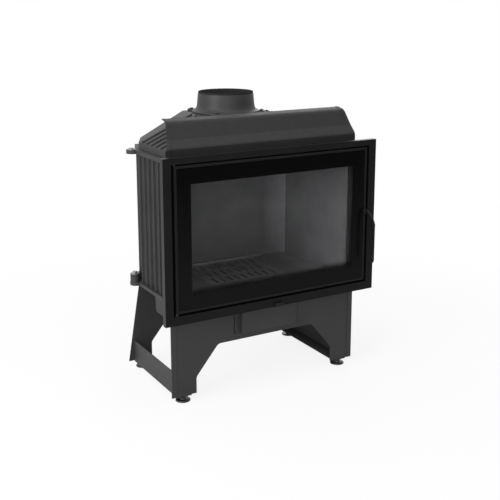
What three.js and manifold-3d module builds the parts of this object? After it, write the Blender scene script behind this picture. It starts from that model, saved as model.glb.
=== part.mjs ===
// Fireplace insert: a ribbed cast-iron body on a folded steel stand, with a wide glazed door.
// Millimetres. X to the right, Y to the back, Z up. Y = 0 is the front face of the frame while the pieces
// are made; the finished group is moved so that its origin is the middle of the footprint on the floor.
import * as THREE from 'three';
import { mergeVertices } from 'three/addons/utils/BufferGeometryUtils.js';
import Module from 'manifold-3d';

const wasm = await Module();
wasm.setup();

// ---------- driving sizes ----------
const restGap = 0.3;             // between pieces that touch
const runGap = 0.3;              // round a pin or stud that turns or slides
const pastFace = 1;              // how far a cutting tool passes the face that it opens

const frameWidth = 800;
const frameBottom = 292;
const frameHeight = 532;
const frameSideBorder = 28;
const frameTopBorder = 20;
const frameBottomBorder = 29;
const frameReturn = 19;          // depth of the outer edge
const frameDepth = 27;           // depth of the inner edge, which reaches the cast front
const frameSheet = 3;

const doorSideGap = 9.5;
const doorTopGap = 5;
const doorBottomGap = 8;
const doorDepth = 24;
const doorRim = 8.5;             // bright edge round the glass
const doorBorder = 50;           // flange behind the printed edge of the glass
const doorFlange = 4;
const glassSeat = 7;             // depth of the flange's front face
const glassThickness = 4;
const glassInset = 0.6;
const glassGap = 0.5;
const tapeInner = 40;
const tapeOuter = 20;
const sealNear = 18;             // rope channel, from the door's outer edge
const sealWidth = 14;
const sealWall = 4;
const sealFloor = 14;

const openingSetIn = 91;         // from the frame's outer edge
const openingAboveFrameEdge = 72;
const openingBelowFrameEdge = 79;
const castFrontThickness = 8;
const castFrontMargin = 12;      // how far the cast front stays inside the frame's outline

const frameOverBody = 65;        // how far the frame reaches past the ribs on each side
const bodyRear = 465;            // over the ribs
const cornerStart = 350;         // where the rear corner turns in
const cornerTurnIn = 49;         // how far the rear corner turns in
const castWall = 6;
const ribHeight = 9;
const ribWidth = 7;
const ribDraft = 1.5;            // how far each side of a rib slants in
const ribPitch = 37;
const firstRib = 72;
const flangeOverhang = 5;        // top and bottom plates past the ribs
const bottomPlateRise = 31;      // over the frame's lower edge
const bottomPlateThickness = 12;
const topPlateDrop = 40;         // under the frame's upper edge
const topPlateThickness = 13;
const earRadius = 21;
const earHole = 5.5;
const earOutset = 8;             // ear's middle past the ribs
const earBack = 366;
const bossOutset = 12;
const bossRadius = 16;
const bossHeight = 28;           // over the bottom plate

const smokeOpeningHalfWidth = 196;
const hoodSetIn = 12;            // from the ribs
const hoodFront = 145;
const hoodBandHeight = 24;
const hoodHeight = 108;          // over the top plate
const hoodTopHalfWidth = 136;
const hoodTopFront = 226;
const hoodCornerStart = 358;
const hoodRear = 452;
const hoodCornerTurnIn = 47;
const hoodTopCornerTurnIn = 24;
const hoodWall = 6;
const hoodRibHeight = 5;
const hoodRibWidth = 8;
const hoodRibDraft = 1;          // slant of a rib's lower end

const flueRadius = 100;
const flueWall = 5;
const flueBack = 339;
const flueHeight = 73;           // over the hood
const flueRimBand = 6;
const flueRimStep = 1.2;
const flueTaper = 2;             // how much narrower the collar is at its rim
const flueFlare = 7;             // at the collar's foot
const flueFlangeRadius = 118;
const flueFlangeThickness = 8;
const flueLugRadius = 14;
const flueLugReach = 140;

const shroudFront = 60;
const shroudSheet = 2.5;
const shroudOverhang = 20;       // past the ribs
const shroudLean = 19;           // how far each end leans in
const shroudUprightHeight = 44;  // these four over the top plate
const shroudBendBack = 79;
const shroudBendHeight = 70;
const shroudLipFront = 105;
const shroudLipFrontHeight = 122;
const shroudLipBack = 138;
const shroudLipBackHeight = 129;
const shroudFoot = 26;

const standOverhang = 22;        // past the ribs
const standSheet = 3;
const legPlateFront = 58;
const legPlateBottom = 22;
const legWidth = 90;
const legStraightTop = 78;
const archSlopeWidth = 82;
const archTop = 178;
const archFillet = 22;
const hemWidth = 19;
const hemThickness = 2;
const rearPlateFront = 418;
const rearPlateBottom = 20;
const rearPlateTopSetIn = 46;
const rearPlateTaperTop = 300;
const railSetIn = 21;            // from the leg plates' outer edge
const railBottom = 17;
const railHeight = 80;
const railFlange = 52;
const bracketLength = 164;
const bracketHeight = 56;
const bracketSheet = 4;
const bracketCorner = 8;

const footRadius = 25;
const footThickness = 6;
const footRound = 2;
const studRadius = 6;
const studHeight = 52;
const footSetIn = 26;            // from the rail's outer face
const footFromPlate = 14;
const nutAcross = 10;
const nutHeight = 7.5;

const coverHalfWidth = 105;
const coverFlange = 19;
const coverDrop = 120;           // under the bottom plate
const coverDepth = 20;
const coverSheet = 2;

const liningThickness = 14;
const liningWallGap = 2;         // between the lining's front edge and the wall
const liningTaper = 20;          // how far each side lining turns in towards the back
const liningFront = 42;
const liningSideRear = 386;
const cornerLiningAcross = 89;
const backLiningFace = 412;
const liningDrop = 56;           // under the top plate
const baffleThickness = 22;
const baffleFront = 150;
const baffleMargin = 4;

const hearthThickness = 6.7;
const ledgeHeight = 10;
const ledgeDepth = 14;
const hearthMargin = 2;
const grateHalfWidth = 141;
const grateFront = 176;
const grateBack = 394;
const grateSeat = 12;            // how far the bottom plate reaches under the grate
const slotRows = 3;
const slotsInRow = 9;
const slotLength = 56;
const slotWidth = 9;

const ashBoxHalfWidth = 146;
const ashBoxFront = 78;
const ashBoxBack = 404;
const ashBoxDrop = 127;          // under the bottom plate
const ashBoxSheet = 3;
const ashPanClearance = 12;
const ashPanHeight = 88;
const ashPanSheet = 2;
const runnerHeight = 14;
const runnerWidth = 12;
const runnerSetIn = 14;
const runnerEndSetIn = 10;
const spigotRadius = 62.5;
const spigotLength = 44;
const spigotWall = 2;
const spigotCollar = 12;
const spigotBack = 240;

const hingePinRadius = 3.5;
const hingeInset = 5;            // from the door's outer edge
const hingeBack = 9;
const hingeEngagement = 22;
const hingeHeadRadius = 6;
const hingeHeadThickness = 2;

const spindleRadius = 3;
const spindleInset = 4.25;
const spindleHeight = 577;
const hubRadius = 9;
const hubThickness = 9;
const gripReach = 42;            // middle of the grip, ahead of the frame
const armRound = 8;              // where the arm turns down into the grip
const gripThickness = 8;
const gripWidth = 10;
const gripChamfer = 2;
const gripOutset = 8.75;         // past the spindle
const gripTop = 536;
const gripBottom = 398;
const camLength = 24;
const camWidth = 12;
const camThickness = 5;
const camWindowHalfWidth = 12;
const keeperThickness = 2.2;
const keeperWidth = 14;
const keeperHeight = 46;

const sliderAcross = 12;
const sliderDrop = 24;           // under the bottom plate
const sliderRod = 3;
const sliderTabWidth = 34;
const sliderTabHeight = 12;
const sliderTabThickness = 6;
const sliderTravel = 30;
const sliderTabGap = 2;          // between the tab and the frame
const sliderPlateHalfWidth = 55;
const sliderPlateBelow = 8;
const sliderPlateAbove = 16;
const sliderPlateThickness = 3;

const clipSheet = 1.2;
const clipWidth = 30;
const clipFoot = 11;             // on the door's flange
const clipTongue = 5;            // on the glass
const clipEdgeGap = 1;

// ---------- places that follow from the sizes ----------
const frameOuter = { half: frameWidth / 2, bottom: frameBottom, top: frameBottom + frameHeight };
const frameInner = {
  half: frameOuter.half - frameSideBorder,
  bottom: frameOuter.bottom + frameBottomBorder,
  top: frameOuter.top - frameTopBorder,
};
const doorOuter = {
  half: frameInner.half - doorSideGap,
  bottom: frameInner.bottom + doorBottomGap,
  top: frameInner.top - doorTopGap,
};
const castFrontFace = frameDepth + restGap;
const castFrontBack = castFrontFace + castFrontThickness;
const bodyFront = castFrontBack + restGap;
const bodyHalfWidth = frameOuter.half - frameOverBody;
const rearHalfWidth = bodyHalfWidth - cornerTurnIn;
const openingHalfWidth = frameOuter.half - openingSetIn;
const openingBottom = frameOuter.bottom + openingAboveFrameEdge;
const openingTop = frameOuter.top - openingBelowFrameEdge;
const bottomPlateBottom = frameOuter.bottom + bottomPlateRise;
const bottomPlateTop = bottomPlateBottom + bottomPlateThickness;
const topPlateBottom = frameOuter.top - topPlateDrop;
const topPlateTop = topPlateBottom + topPlateThickness;
const hoodTop = topPlateTop + hoodHeight;
const flueTop = hoodTop + flueHeight;
const shroudUpright = topPlateTop + shroudUprightHeight;
const shroudBendTop = topPlateTop + shroudBendHeight;
const shroudLipFrontTop = topPlateTop + shroudLipFrontHeight;
const shroudLipBackTop = topPlateTop + shroudLipBackHeight;
const liningTop = topPlateBottom - liningDrop;
const hearthBottom = bottomPlateTop + restGap;
const hearthTop = hearthBottom + hearthThickness;
const ashBoxBottom = bottomPlateBottom - ashBoxDrop;
const sliderHeight = bottomPlateBottom - sliderDrop;
const coverBottom = bottomPlateBottom - coverDrop;
const wallCore = bodyHalfWidth - ribHeight;
const wallInside = wallCore - castWall;
const hoodHalfWidth = bodyHalfWidth - hoodSetIn;
const hoodRearHalfWidth = hoodHalfWidth - hoodCornerTurnIn;
const hoodTopRearHalfWidth = hoodTopHalfWidth - hoodTopCornerTurnIn;
const shroudHalfWidth = bodyHalfWidth + shroudOverhang;
const shroudTopHalfWidth = shroudHalfWidth - shroudLean;
const standHalfWidth = bodyHalfWidth + standOverhang;
const railOffset = standHalfWidth - railSetIn;
const footAcross = railOffset - footSetIn;
const liningFrontHalfWidth = wallInside - liningWallGap - liningThickness;
const liningRearHalfWidth = liningFrontHalfWidth - liningTaper;
const backLiningHalfWidth = liningRearHalfWidth - cornerLiningAcross;
const hingeAcross = -(doorOuter.half - hingeInset);
const spindleAcross = doorOuter.half - spindleInset;
const latchWindowLeft = spindleAcross - camWindowHalfWidth;
const latchWindowRight = spindleAcross + camWindowHalfWidth;
const keeperFront = castFrontBack + restGap;
const camFront = keeperFront + keeperThickness + restGap;
const plateFlangeHalfWidth = bodyHalfWidth + flangeOverhang;
const railTopOfFlange = railBottom + standSheet;
const footPlaces = {
  front: legPlateFront + standSheet + footFromPlate,
  rear: rearPlateFront - footFromPlate,
};

// ---------- shared ways of making solids ----------
const xAxis = new THREE.Vector3(1, 0, 0);
const yAxis = new THREE.Vector3(0, 1, 0);
const zAxis = new THREE.Vector3(0, 0, 1);
const uprightBasis = new THREE.Matrix4().makeBasis(xAxis, zAxis, yAxis.clone().negate());
const sidewaysBasis = new THREE.Matrix4().makeBasis(yAxis, zAxis, xAxis);

// A 2-D outline of straight edges; a third number in a point rounds that corner by an arc of that radius.
function outline(points, kind = THREE.Shape) {
  const shape = new kind();
  points.forEach(([x, y, radius], index) => {
    const here = new THREE.Vector2(x, y);
    if (!radius) {
      index === 0 ? shape.moveTo(x, y) : shape.lineTo(x, y);
      return;
    }
    const before = new THREE.Vector2(...points.at(index - 1));
    const after = new THREE.Vector2(...points[(index + 1) % points.length]);
    const inward = before.sub(here).normalize();
    const onward = after.sub(here).normalize();
    const halfTurn = Math.acos(inward.dot(onward)) / 2;
    const reach = radius / Math.tan(halfTurn);
    const start = here.clone().addScaledVector(inward, reach);
    const middleWay = inward.clone().add(onward).normalize();
    const centre = here.clone().addScaledVector(middleWay, radius / Math.sin(halfTurn));
    const end = here.clone().addScaledVector(onward, reach);
    index === 0 ? shape.moveTo(start.x, start.y) : shape.lineTo(start.x, start.y);
    const startAngle = Math.atan2(start.y - centre.y, start.x - centre.x);
    const endAngle = Math.atan2(end.y - centre.y, end.x - centre.x);
    const clockwise = inward.cross(onward) > 0;
    shape.absarc(centre.x, centre.y, radius, startAngle, endAngle, clockwise);
  });
  shape.closePath();
  return shape;
}

function rectangle(left, bottom, right, top, kind = THREE.Shape) {
  return outline([[left, bottom], [right, bottom], [right, top], [left, top]], kind);
}

function extrude(shape, thickness, curveSegments = 6) {
  return new THREE.ExtrudeGeometry(shape, { depth: thickness, bevelEnabled: false, curveSegments });
}

// Outline in X and Z, thickness to the back.
function uprightPlate(shape, front, thickness, curveSegments) {
  const plate = extrude(shape, thickness, curveSegments).applyMatrix4(uprightBasis);
  return plate.translate(0, front + thickness, 0);
}

// Outline in Y and Z, thickness to the right.
function sidewaysPlate(shape, left, thickness, curveSegments) {
  return extrude(shape, thickness, curveSegments).applyMatrix4(sidewaysBasis).translate(left, 0, 0);
}

// Outline in X and Y, thickness up.
function levelPlate(shape, bottom, thickness, curveSegments) {
  return extrude(shape, thickness, curveSegments).translate(0, 0, bottom);
}

function box(left, front, bottom, right, back, top) {
  return levelPlate(rectangle(left, front, right, back), bottom, top - bottom);
}

function standingCylinder(x, y, bottom, radius, height, sides = 24) {
  const geometry = new THREE.CylinderGeometry(radius, radius, height, sides);
  return geometry.rotateX(Math.PI / 2).translate(x, y, bottom + height / 2);
}

function lyingCylinder(x, z, front, radius, length, sides = 24) {
  return new THREE.CylinderGeometry(radius, radius, length, sides).translate(x, front + length / 2, z);
}

function toSolid(geometry) {
  const bare = geometry.clone();
  bare.deleteAttribute('normal');
  bare.deleteAttribute('uv');
  const merged = mergeVertices(bare, 1e-4);
  return new wasm.Manifold(new wasm.Mesh({
    numProp: 3,
    vertProperties: new Float32Array(merged.attributes.position.array),
    triVerts: new Uint32Array(merged.index.array),
  }));
}

function toGeometry(solid) {
  const mesh = solid.getMesh();
  const geometry = new THREE.BufferGeometry();
  geometry.setAttribute('position', new THREE.BufferAttribute(mesh.vertProperties, 3));
  geometry.setIndex(new THREE.BufferAttribute(mesh.triVerts, 1));
  return geometry;
}

function join(...geometries) {
  return toGeometry(geometries.map(toSolid).reduce((whole, piece) => whole.add(piece)));
}

function cut(geometry, ...tools) {
  return toGeometry(tools.map(toSolid).reduce((whole, tool) => whole.subtract(tool), toSolid(geometry)));
}

function mirrored(geometry) {
  const flipped = geometry.index ? geometry.clone() : mergeVertices(geometry);
  flipped.scale(-1, 1, 1);
  const order = flipped.index.array;
  for (let corner = 0; corner < order.length; corner += 3) {
    [order[corner], order[corner + 1]] = [order[corner + 1], order[corner]];
  }
  flipped.deleteAttribute('normal');
  return flipped;
}

function signedVolume(positions, order) {
  const [a, b, c] = [new THREE.Vector3(), new THREE.Vector3(), new THREE.Vector3()];
  let volume = 0;
  for (let corner = 0; corner < order.length; corner += 3) {
    a.fromArray(positions, order[corner] * 3);
    b.fromArray(positions, order[corner + 1] * 3);
    c.fromArray(positions, order[corner + 2] * 3);
    volume += a.dot(b.cross(c)) / 6;
  }
  return volume;
}

// A closed solid from vertices and triangles, turned right side out.
function closedMesh(positions, order) {
  if (signedVolume(positions, order) < 0) {
    for (let corner = 0; corner < order.length; corner += 3) {
      [order[corner], order[corner + 1]] = [order[corner + 1], order[corner]];
    }
  }
  const geometry = new THREE.BufferGeometry();
  geometry.setAttribute('position', new THREE.BufferAttribute(new Float32Array(positions), 3));
  geometry.setIndex(order);
  return geometry;
}

// A section carried round a rectangle with mitred corners. Each point of the section is
// [distance inside the rectangle, depth behind the front].
function mitredRing(rectangleSize, section) {
  const positions = [];
  const order = [];
  const count = section.length;
  for (const [side, end] of [[-1, 0], [1, 0], [1, 1], [-1, 1]]) {
    for (const [inset, depth] of section) {
      const insetHere = typeof inset === 'function' ? inset : () => inset;
      const half = rectangleSize.half - insetHere('side');
      const level = end ? rectangleSize.top - insetHere('top') : rectangleSize.bottom + insetHere('bottom');
      positions.push(side * half, depth, level);
    }
  }
  for (let corner = 0; corner < 4; corner += 1) {
    for (let point = 0; point < count; point += 1) {
      const next = (point + 1) % count;
      const here = corner * count;
      const there = ((corner + 1) % 4) * count;
      order.push(here + point, there + point, there + next, here + point, there + next, here + next);
    }
  }
  return closedMesh(positions, order);
}

// Horizontal outlines stacked at their heights, joined by flat sides and closed at both ends.
function stack(levels) {
  const positions = [];
  const order = [];
  const count = levels[0].points.length;
  for (const { points, height } of levels) {
    for (const [x, y] of points) {
      positions.push(x, y, height);
    }
  }
  for (let level = 0; level + 1 < levels.length; level += 1) {
    for (let point = 0; point < count; point += 1) {
      const next = (point + 1) % count;
      const low = level * count;
      const high = low + count;
      order.push(low + point, low + next, high + next, low + point, high + next, high + point);
    }
  }
  const last = (levels.length - 1) * count;
  for (let point = 1; point + 1 < count; point += 1) {
    order.push(0, point + 1, point, last, last + point, last + point + 1);
  }
  return closedMesh(positions, order);
}

// ---------- materials ----------
function painted(color, roughness = 0.55, metalness = 0.4) {
  return new THREE.MeshStandardMaterial({ color, roughness, metalness });
}

const castIron = painted(0x3a3a3a, 0.6);
const sheetSteel = painted(0x3e3e3f, 0.5);
const doorSteel = painted(0x222223, 0.45);
const handleSteel = painted(0x161616, 0.4);
const refractory = painted(0x4a4a4a, 0.85, 0);
const bareSteel = painted(0x8a8a8a, 0.35, 0.9);
const rope = painted(0x2b2b2a, 0.95, 0);
const ceramicGlass = new THREE.MeshStandardMaterial({
  color: 0x0b0b0c, roughness: 0.05, metalness: 0, transparent: true, opacity: 0.45,
});

const insert = new THREE.Group();

function add(name, geometry, material) {
  const mesh = new THREE.Mesh(geometry, material);
  mesh.name = name;
  insert.add(mesh);
}

// ---------- front frame and the cast front behind it ----------
const innerEdge = {
  side: frameSideBorder,
  top: frameTopBorder,
  bottom: frameBottomBorder,
};
const atInnerEdge = (back) => (place) => innerEdge[place] - back;

function frontFrame() {
  const channel = mitredRing(frameOuter, [
    [0, 0],
    [atInnerEdge(0), 0],
    [atInnerEdge(0), frameDepth],
    [atInnerEdge(frameSheet), frameDepth],
    [atInnerEdge(frameSheet), frameSheet],
    [frameSheet, frameSheet],
    [frameSheet, frameReturn],
    [0, frameReturn],
  ]);
  const pinHole = (bottom) => standingCylinder(
    hingeAcross, hingeBack, bottom - frameSheet, hingePinRadius + runGap, 3 * frameSheet, 16);
  const sliderHole = lyingCylinder(
    sliderAcross, sliderHeight, -frameSheet, sliderRod + runGap, 3 * frameSheet, 12);
  return cut(channel, pinHole(frameInner.top), pinHole(frameInner.bottom - frameSheet), sliderHole);
}

// The cast front and the strip beside it stay inside the frame's outline.
const castFrontEdge = {
  half: frameOuter.half - castFrontMargin,
  bottom: frameOuter.bottom + castFrontMargin,
  top: frameOuter.top - castFrontMargin,
};

function castFront() {
  const right = latchWindowLeft - restGap;
  const face = rectangle(-castFrontEdge.half, castFrontEdge.bottom, right, castFrontEdge.top);
  face.holes.push(rectangle(-openingHalfWidth, openingBottom, openingHalfWidth, openingTop, THREE.Path));
  return uprightPlate(face, castFrontFace, castFrontThickness);
}

// Strip that closes the frame beside the cast front, notched where the latch cam passes.
function latchPlate() {
  return uprightPlate(outline([
    [latchWindowLeft, castFrontEdge.bottom],
    [castFrontEdge.half, castFrontEdge.bottom],
    [castFrontEdge.half, castFrontEdge.top],
    [latchWindowLeft, castFrontEdge.top],
    [latchWindowLeft, spindleHeight + camWidth],
    [latchWindowRight, spindleHeight + camWidth],
    [latchWindowRight, spindleHeight - camLength - camWidth],
    [latchWindowLeft, spindleHeight - camLength - camWidth],
  ]), castFrontFace, castFrontThickness);
}

add('front_frame', frontFrame(), doorSteel);
add('cast_front', castFront(), castIron);
add('latch_plate', latchPlate(), castIron);

// ---------- ribbed cast body ----------
// Plan of the body: straight sides, rear corners turned in, straight back. Grown or shrunk by an offset.
function bodyPlan(half, corner, rearHalf, rear, front) {
  const right = [[half, front], [half, corner], [rearHalf, rear]];
  return [...right, ...right.map(([x, y]) => [-x, y]).reverse()];
}

// A wall along a straight line in plan, with ribs standing on its outer side at an even pitch.
// start and end are on the outer face of the wall's core; outside lies to the right of that direction.
function ribbedWall(start, end, ribCount, firstAt) {
  const from = new THREE.Vector2(...start);
  const along = new THREE.Vector2(...end).sub(from);
  const length = along.length();
  along.normalize();
  const outward = new THREE.Vector2(along.y, -along.x);
  const at = (distance, out) => {
    const point = from.clone().addScaledVector(along, distance).addScaledVector(outward, out);
    return [point.x, point.y];
  };
  const points = [at(0, -castWall), at(0, 0)];
  for (let rib = 0; rib < ribCount; rib += 1) {
    const middle = firstAt + rib * ribPitch;
    const foot = ribWidth / 2;
    const tip = foot - ribDraft;
    points.push(
      at(middle - foot, 0), at(middle - tip, ribHeight), at(middle + tip, ribHeight), at(middle + foot, 0));
  }
  points.push(at(length, 0), at(length, -castWall));
  return levelPlate(outline(points), bottomPlateTop + restGap, topPlateBottom - bottomPlateTop - 2 * restGap);
}

const rearCore = bodyRear - ribHeight;
const rearWallInside = rearHalfWidth - ribHeight - castWall;
const cornerRun = Math.hypot(bodyHalfWidth - rearHalfWidth, bodyRear - cornerStart);
const cornerRibs = Math.floor((cornerRun - ribPitch / 2) / ribPitch);
const wallJoint = 1;             // open joint between neighbouring castings
const cornerMitre = castWall * (bodyHalfWidth - rearHalfWidth) / cornerRun;

function rightSideWall() {
  const end = cornerStart - wallJoint;
  const ribs = Math.floor((end - ribWidth - firstRib) / ribPitch) + 1;
  return ribbedWall([wallCore, bodyFront], [wallCore, end], ribs, firstRib - bodyFront);
}

function rightRearCorner() {
  const rearCoreHalf = rearHalfWidth - ribHeight / 2;
  const start = cornerStart + wallJoint + cornerMitre;
  return ribbedWall([wallCore, start], [rearCoreHalf, rearCore], cornerRibs, ribPitch / 2);
}

function rearWall() {
  const half = rearHalfWidth - ribHeight / 2 - castWall - wallJoint;
  const ribs = Math.floor((2 * half - ribPitch / 2) / ribPitch) + 1;
  const first = (2 * half - (ribs - 1) * ribPitch) / 2;
  return ribbedWall([half, rearCore], [-half, rearCore], ribs, first);
}

// Top and bottom plates share the body's plan, with a round ear at each rear corner. The bottom plate's
// ears carry a boss that stands up beside the wall.
function plateWithEars(bottom, thickness, rise, openings) {
  const plan = outline(bodyPlan(
    plateFlangeHalfWidth, cornerStart, rearHalfWidth + flangeOverhang, bodyRear + flangeOverhang, bodyFront));
  const ears = [];
  const holes = [];
  for (const side of [-1, 1]) {
    const earAcross = side * (bodyHalfWidth + earOutset);
    const bossAcross = side * (bodyHalfWidth + bossOutset);
    ears.push(standingCylinder(earAcross, earBack, bottom, earRadius, thickness));
    if (rise > 0) {
      ears.push(standingCylinder(bossAcross, earBack, bottom, bossRadius, thickness + rise));
    }
    const tall = thickness + rise + 2 * pastFace;
    holes.push(standingCylinder(bossAcross, earBack, bottom - pastFace, earHole, tall, 12));
  }
  const windows = openings.map(([left, front, right, back]) => (
    box(left, front, bottom - pastFace, right, back, bottom + thickness + pastFace)));
  return cut(join(levelPlate(plan, bottom, thickness), ...ears), ...holes, ...windows);
}

const grateOpening = [
  -grateHalfWidth + grateSeat, grateFront + grateSeat, grateHalfWidth - grateSeat, grateBack - grateSeat,
];
const smokeOpening = [
  -smokeOpeningHalfWidth, hoodFront + 2 * hoodWall, smokeOpeningHalfWidth, backLiningFace,
];

const bottomPlate = plateWithEars(bottomPlateBottom, bottomPlateThickness, bossHeight, [grateOpening]);
const topPlate = plateWithEars(topPlateBottom, topPlateThickness, 0, [smokeOpening]);
add('bottom_plate', bottomPlate, castIron);
add('top_plate', topPlate, castIron);
add('side_wall_right', rightSideWall(), castIron);
add('side_wall_left', mirrored(rightSideWall()), castIron);
add('rear_corner_right', rightRearCorner(), castIron);
add('rear_corner_left', mirrored(rightRearCorner()), castIron);
add('rear_wall', rearWall(), castIron);

// ---------- hood and flue collar ----------
const hoodBottom = topPlateTop + restGap;
const hoodBandTop = hoodBottom + hoodBandHeight;

function hoodPlans(inset) {
  return {
    low: bodyPlan(
      hoodHalfWidth - inset, hoodCornerStart, hoodRearHalfWidth - inset, hoodRear - inset, hoodFront + inset),
    high: bodyPlan(
      hoodTopHalfWidth - inset, hoodCornerStart, hoodTopRearHalfWidth - inset, hoodRear - inset,
      hoodTopFront + inset),
  };
}

// One rib up the left or right slope of the hood, from the band to the top or to the hip.
function hoodRib(side, back) {
  const share = Math.min(1, (back - hoodFront) / (hoodTopFront - hoodFront));
  const rise = hoodTop - hoodBandTop;
  const run = hoodHalfWidth - hoodTopHalfWidth;
  const slope = Math.hypot(rise, run);
  const out = [hoodRibHeight * rise / slope, hoodRibHeight * run / slope];
  const foot = [hoodHalfWidth, hoodBandTop];
  const head = [hoodHalfWidth - run * share, hoodBandTop + rise * share];
  const sunk = hoodWall / 2;
  const profile = [
    [foot[0] - sunk, foot[1] - sunk],
    [foot[0], foot[1]],
    [foot[0] + out[0] - hoodRibDraft, foot[1] + out[1] + hoodRibDraft],
    [head[0] + out[0], head[1] + out[1]],
    [head[0], head[1]],
    [head[0] - sunk, head[1] - sunk],
  ].map(([x, z]) => [side * x, z]);
  return uprightPlate(outline(side > 0 ? profile : profile.reverse()), back - hoodRibWidth / 2, hoodRibWidth);
}

function hood() {
  const outer = hoodPlans(0);
  const inner = hoodPlans(hoodWall);
  const shell = stack([
    { points: outer.low, height: hoodBottom },
    { points: outer.low, height: hoodBandTop },
    { points: outer.high, height: hoodTop },
  ]);
  const hollow = stack([
    { points: inner.low, height: hoodBottom - pastFace },
    { points: inner.low, height: hoodBandTop - hoodWall / 2 },
    { points: inner.high, height: hoodTop - hoodWall },
  ]);
  const ribs = [];
  for (let back = hoodFront + ribPitch; back < hoodCornerStart; back += ribPitch) {
    ribs.push(hoodRib(-1, back), hoodRib(1, back));
  }
  const smokeHole = standingCylinder(
    0, flueBack, hoodTop - 2 * hoodWall, flueRadius - flueWall, 3 * hoodWall, 48);
  return cut(join(shell, ...ribs), hollow, smokeHole);
}

// Collar turned about its own axis: flange, flared foot, slightly conical spigot and a stepped rim.
function flueCollar() {
  const base = hoodTop + restGap;
  const flangeTop = base + flueFlangeThickness;
  const inside = flueRadius - flueWall;
  const flueRimRadius = flueRadius - flueTaper;
  const section = [
    [inside, base],
    [flueFlangeRadius, base],
    [flueFlangeRadius, flangeTop],
    [flueRadius + flueFlare, flangeTop],
    [flueRadius + flueFlare / 3, flangeTop + flueFlare],
    [flueRadius, flangeTop + 2 * flueFlare],
    [flueRimRadius, flueTop - flueRimBand],
    [flueRimRadius - flueRimStep, flueTop - flueRimBand + flueRimStep / 2],
    [flueRimRadius - flueRimStep, flueTop],
    [inside, flueTop],
    [inside, base],
  ].map(([radius, height]) => new THREE.Vector2(radius, height));
  const ring = new THREE.LatheGeometry(section, 48).rotateX(Math.PI / 2).translate(0, flueBack, 0);
  const lugs = [45, 135, 225, 315].map((degrees) => {
    const angle = THREE.MathUtils.degToRad(degrees);
    const reach = flueLugReach - flueLugRadius;
    const middle = (flueRadius + reach) / 2;
    const arm = new THREE.BoxGeometry(reach - flueRadius, 2 * flueLugRadius, flueFlangeThickness);
    arm.translate(middle, 0, base + flueFlangeThickness / 2).rotateZ(angle).translate(0, flueBack, 0);
    const padBack = flueBack + reach * Math.sin(angle);
    const pad = standingCylinder(
      reach * Math.cos(angle), padBack, base, flueLugRadius, flueFlangeThickness, 20);
    return join(arm, pad);
  });
  return join(ring, ...lugs);
}

add('hood', hood(), castIron);
add('flue_collar', flueCollar(), castIron);

// ---------- folded deflector over the front ----------
// The fold line is thickened to the back by the sheet, then both ends are cut on a slant.
function deflectorShroud() {
  const foot = topPlateTop + restGap;
  const line = [
    [shroudFront + shroudFoot, foot + shroudSheet],
    [shroudFront + shroudSheet, foot + shroudSheet],
    [shroudFront + shroudSheet, shroudUpright - shroudSheet / 2],
    [shroudBendBack + shroudSheet, shroudBendTop - shroudSheet / 2],
    [shroudLipFront + shroudSheet, shroudLipFrontTop - shroudSheet],
    [shroudLipBack, shroudLipBackTop - shroudSheet],
    [shroudLipBack, shroudLipBackTop],
    [shroudLipFront, shroudLipFrontTop],
    [shroudBendBack, shroudBendTop],
    [shroudFront, shroudUpright],
    [shroudFront, foot],
    [shroudFront + shroudFoot, foot],
  ];
  const sheet = sidewaysPlate(outline(line), -shroudHalfWidth, 2 * shroudHalfWidth);
  const rise = shroudLipBackTop - shroudUpright;
  const offcut = (side) => {
    const edge = [
      [side * shroudHalfWidth, shroudUpright],
      [side * (shroudHalfWidth + shroudLean), shroudUpright],
      [side * (shroudHalfWidth + shroudLean), shroudLipBackTop + rise],
      [side * (shroudTopHalfWidth - shroudLean), shroudLipBackTop + rise],
    ];
    const length = shroudLipBack - shroudFront + 2 * pastFace;
    return uprightPlate(outline(side > 0 ? edge : edge.reverse()), shroudFront - pastFace, length);
  };
  return cut(sheet, offcut(1), offcut(-1));
}

add('deflector_shroud', deflectorShroud(), sheetSteel);

// ---------- stand ----------
// Right half of a leg plate's lower edge, from the outer foot to the middle of the arch.
function archEdge(bottom) {
  const legInside = standHalfWidth - legWidth;
  return [
    [legInside, bottom],
    [legInside, legStraightTop, archFillet],
    [legInside - archSlopeWidth, archTop, archFillet],
  ];
}

function mirroredEdge(edge) {
  return [...edge].reverse().map(([x, y, radius]) => [-x, y, radius]);
}

function legPlateOutline(bottom, top, topHalfWidth, taperTop) {
  const side = [[topHalfWidth, top], [topHalfWidth, taperTop], [standHalfWidth, bottom]];
  const right = [...side, ...archEdge(bottom)];
  return outline([...right, ...mirroredEdge(right)]);
}

const standTop = bottomPlateBottom - restGap;

function frontLegPlate() {
  const plate = uprightPlate(
    legPlateOutline(legPlateBottom, standTop, standHalfWidth, legStraightTop), legPlateFront, standSheet, 5);
  const hem = (side) => {
    const edge = [side * standHalfWidth, side * (standHalfWidth - hemWidth)].sort((a, b) => a - b);
    const hemBack = legPlateFront + standSheet / 2;
    return box(edge[0], legPlateFront - hemThickness, legPlateBottom, edge[1], hemBack, standTop);
  };
  const sliderHole = lyingCylinder(
    sliderAcross, sliderHeight, legPlateFront - standSheet, sliderRod + runGap, 3 * standSheet, 12);
  return cut(join(plate, hem(1), hem(-1)), sliderHole);
}

function rearLegPlate() {
  return uprightPlate(
    legPlateOutline(rearPlateBottom, standTop, standHalfWidth - rearPlateTopSetIn, rearPlateTaperTop),
    rearPlateFront, standSheet, 5);
}

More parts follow.
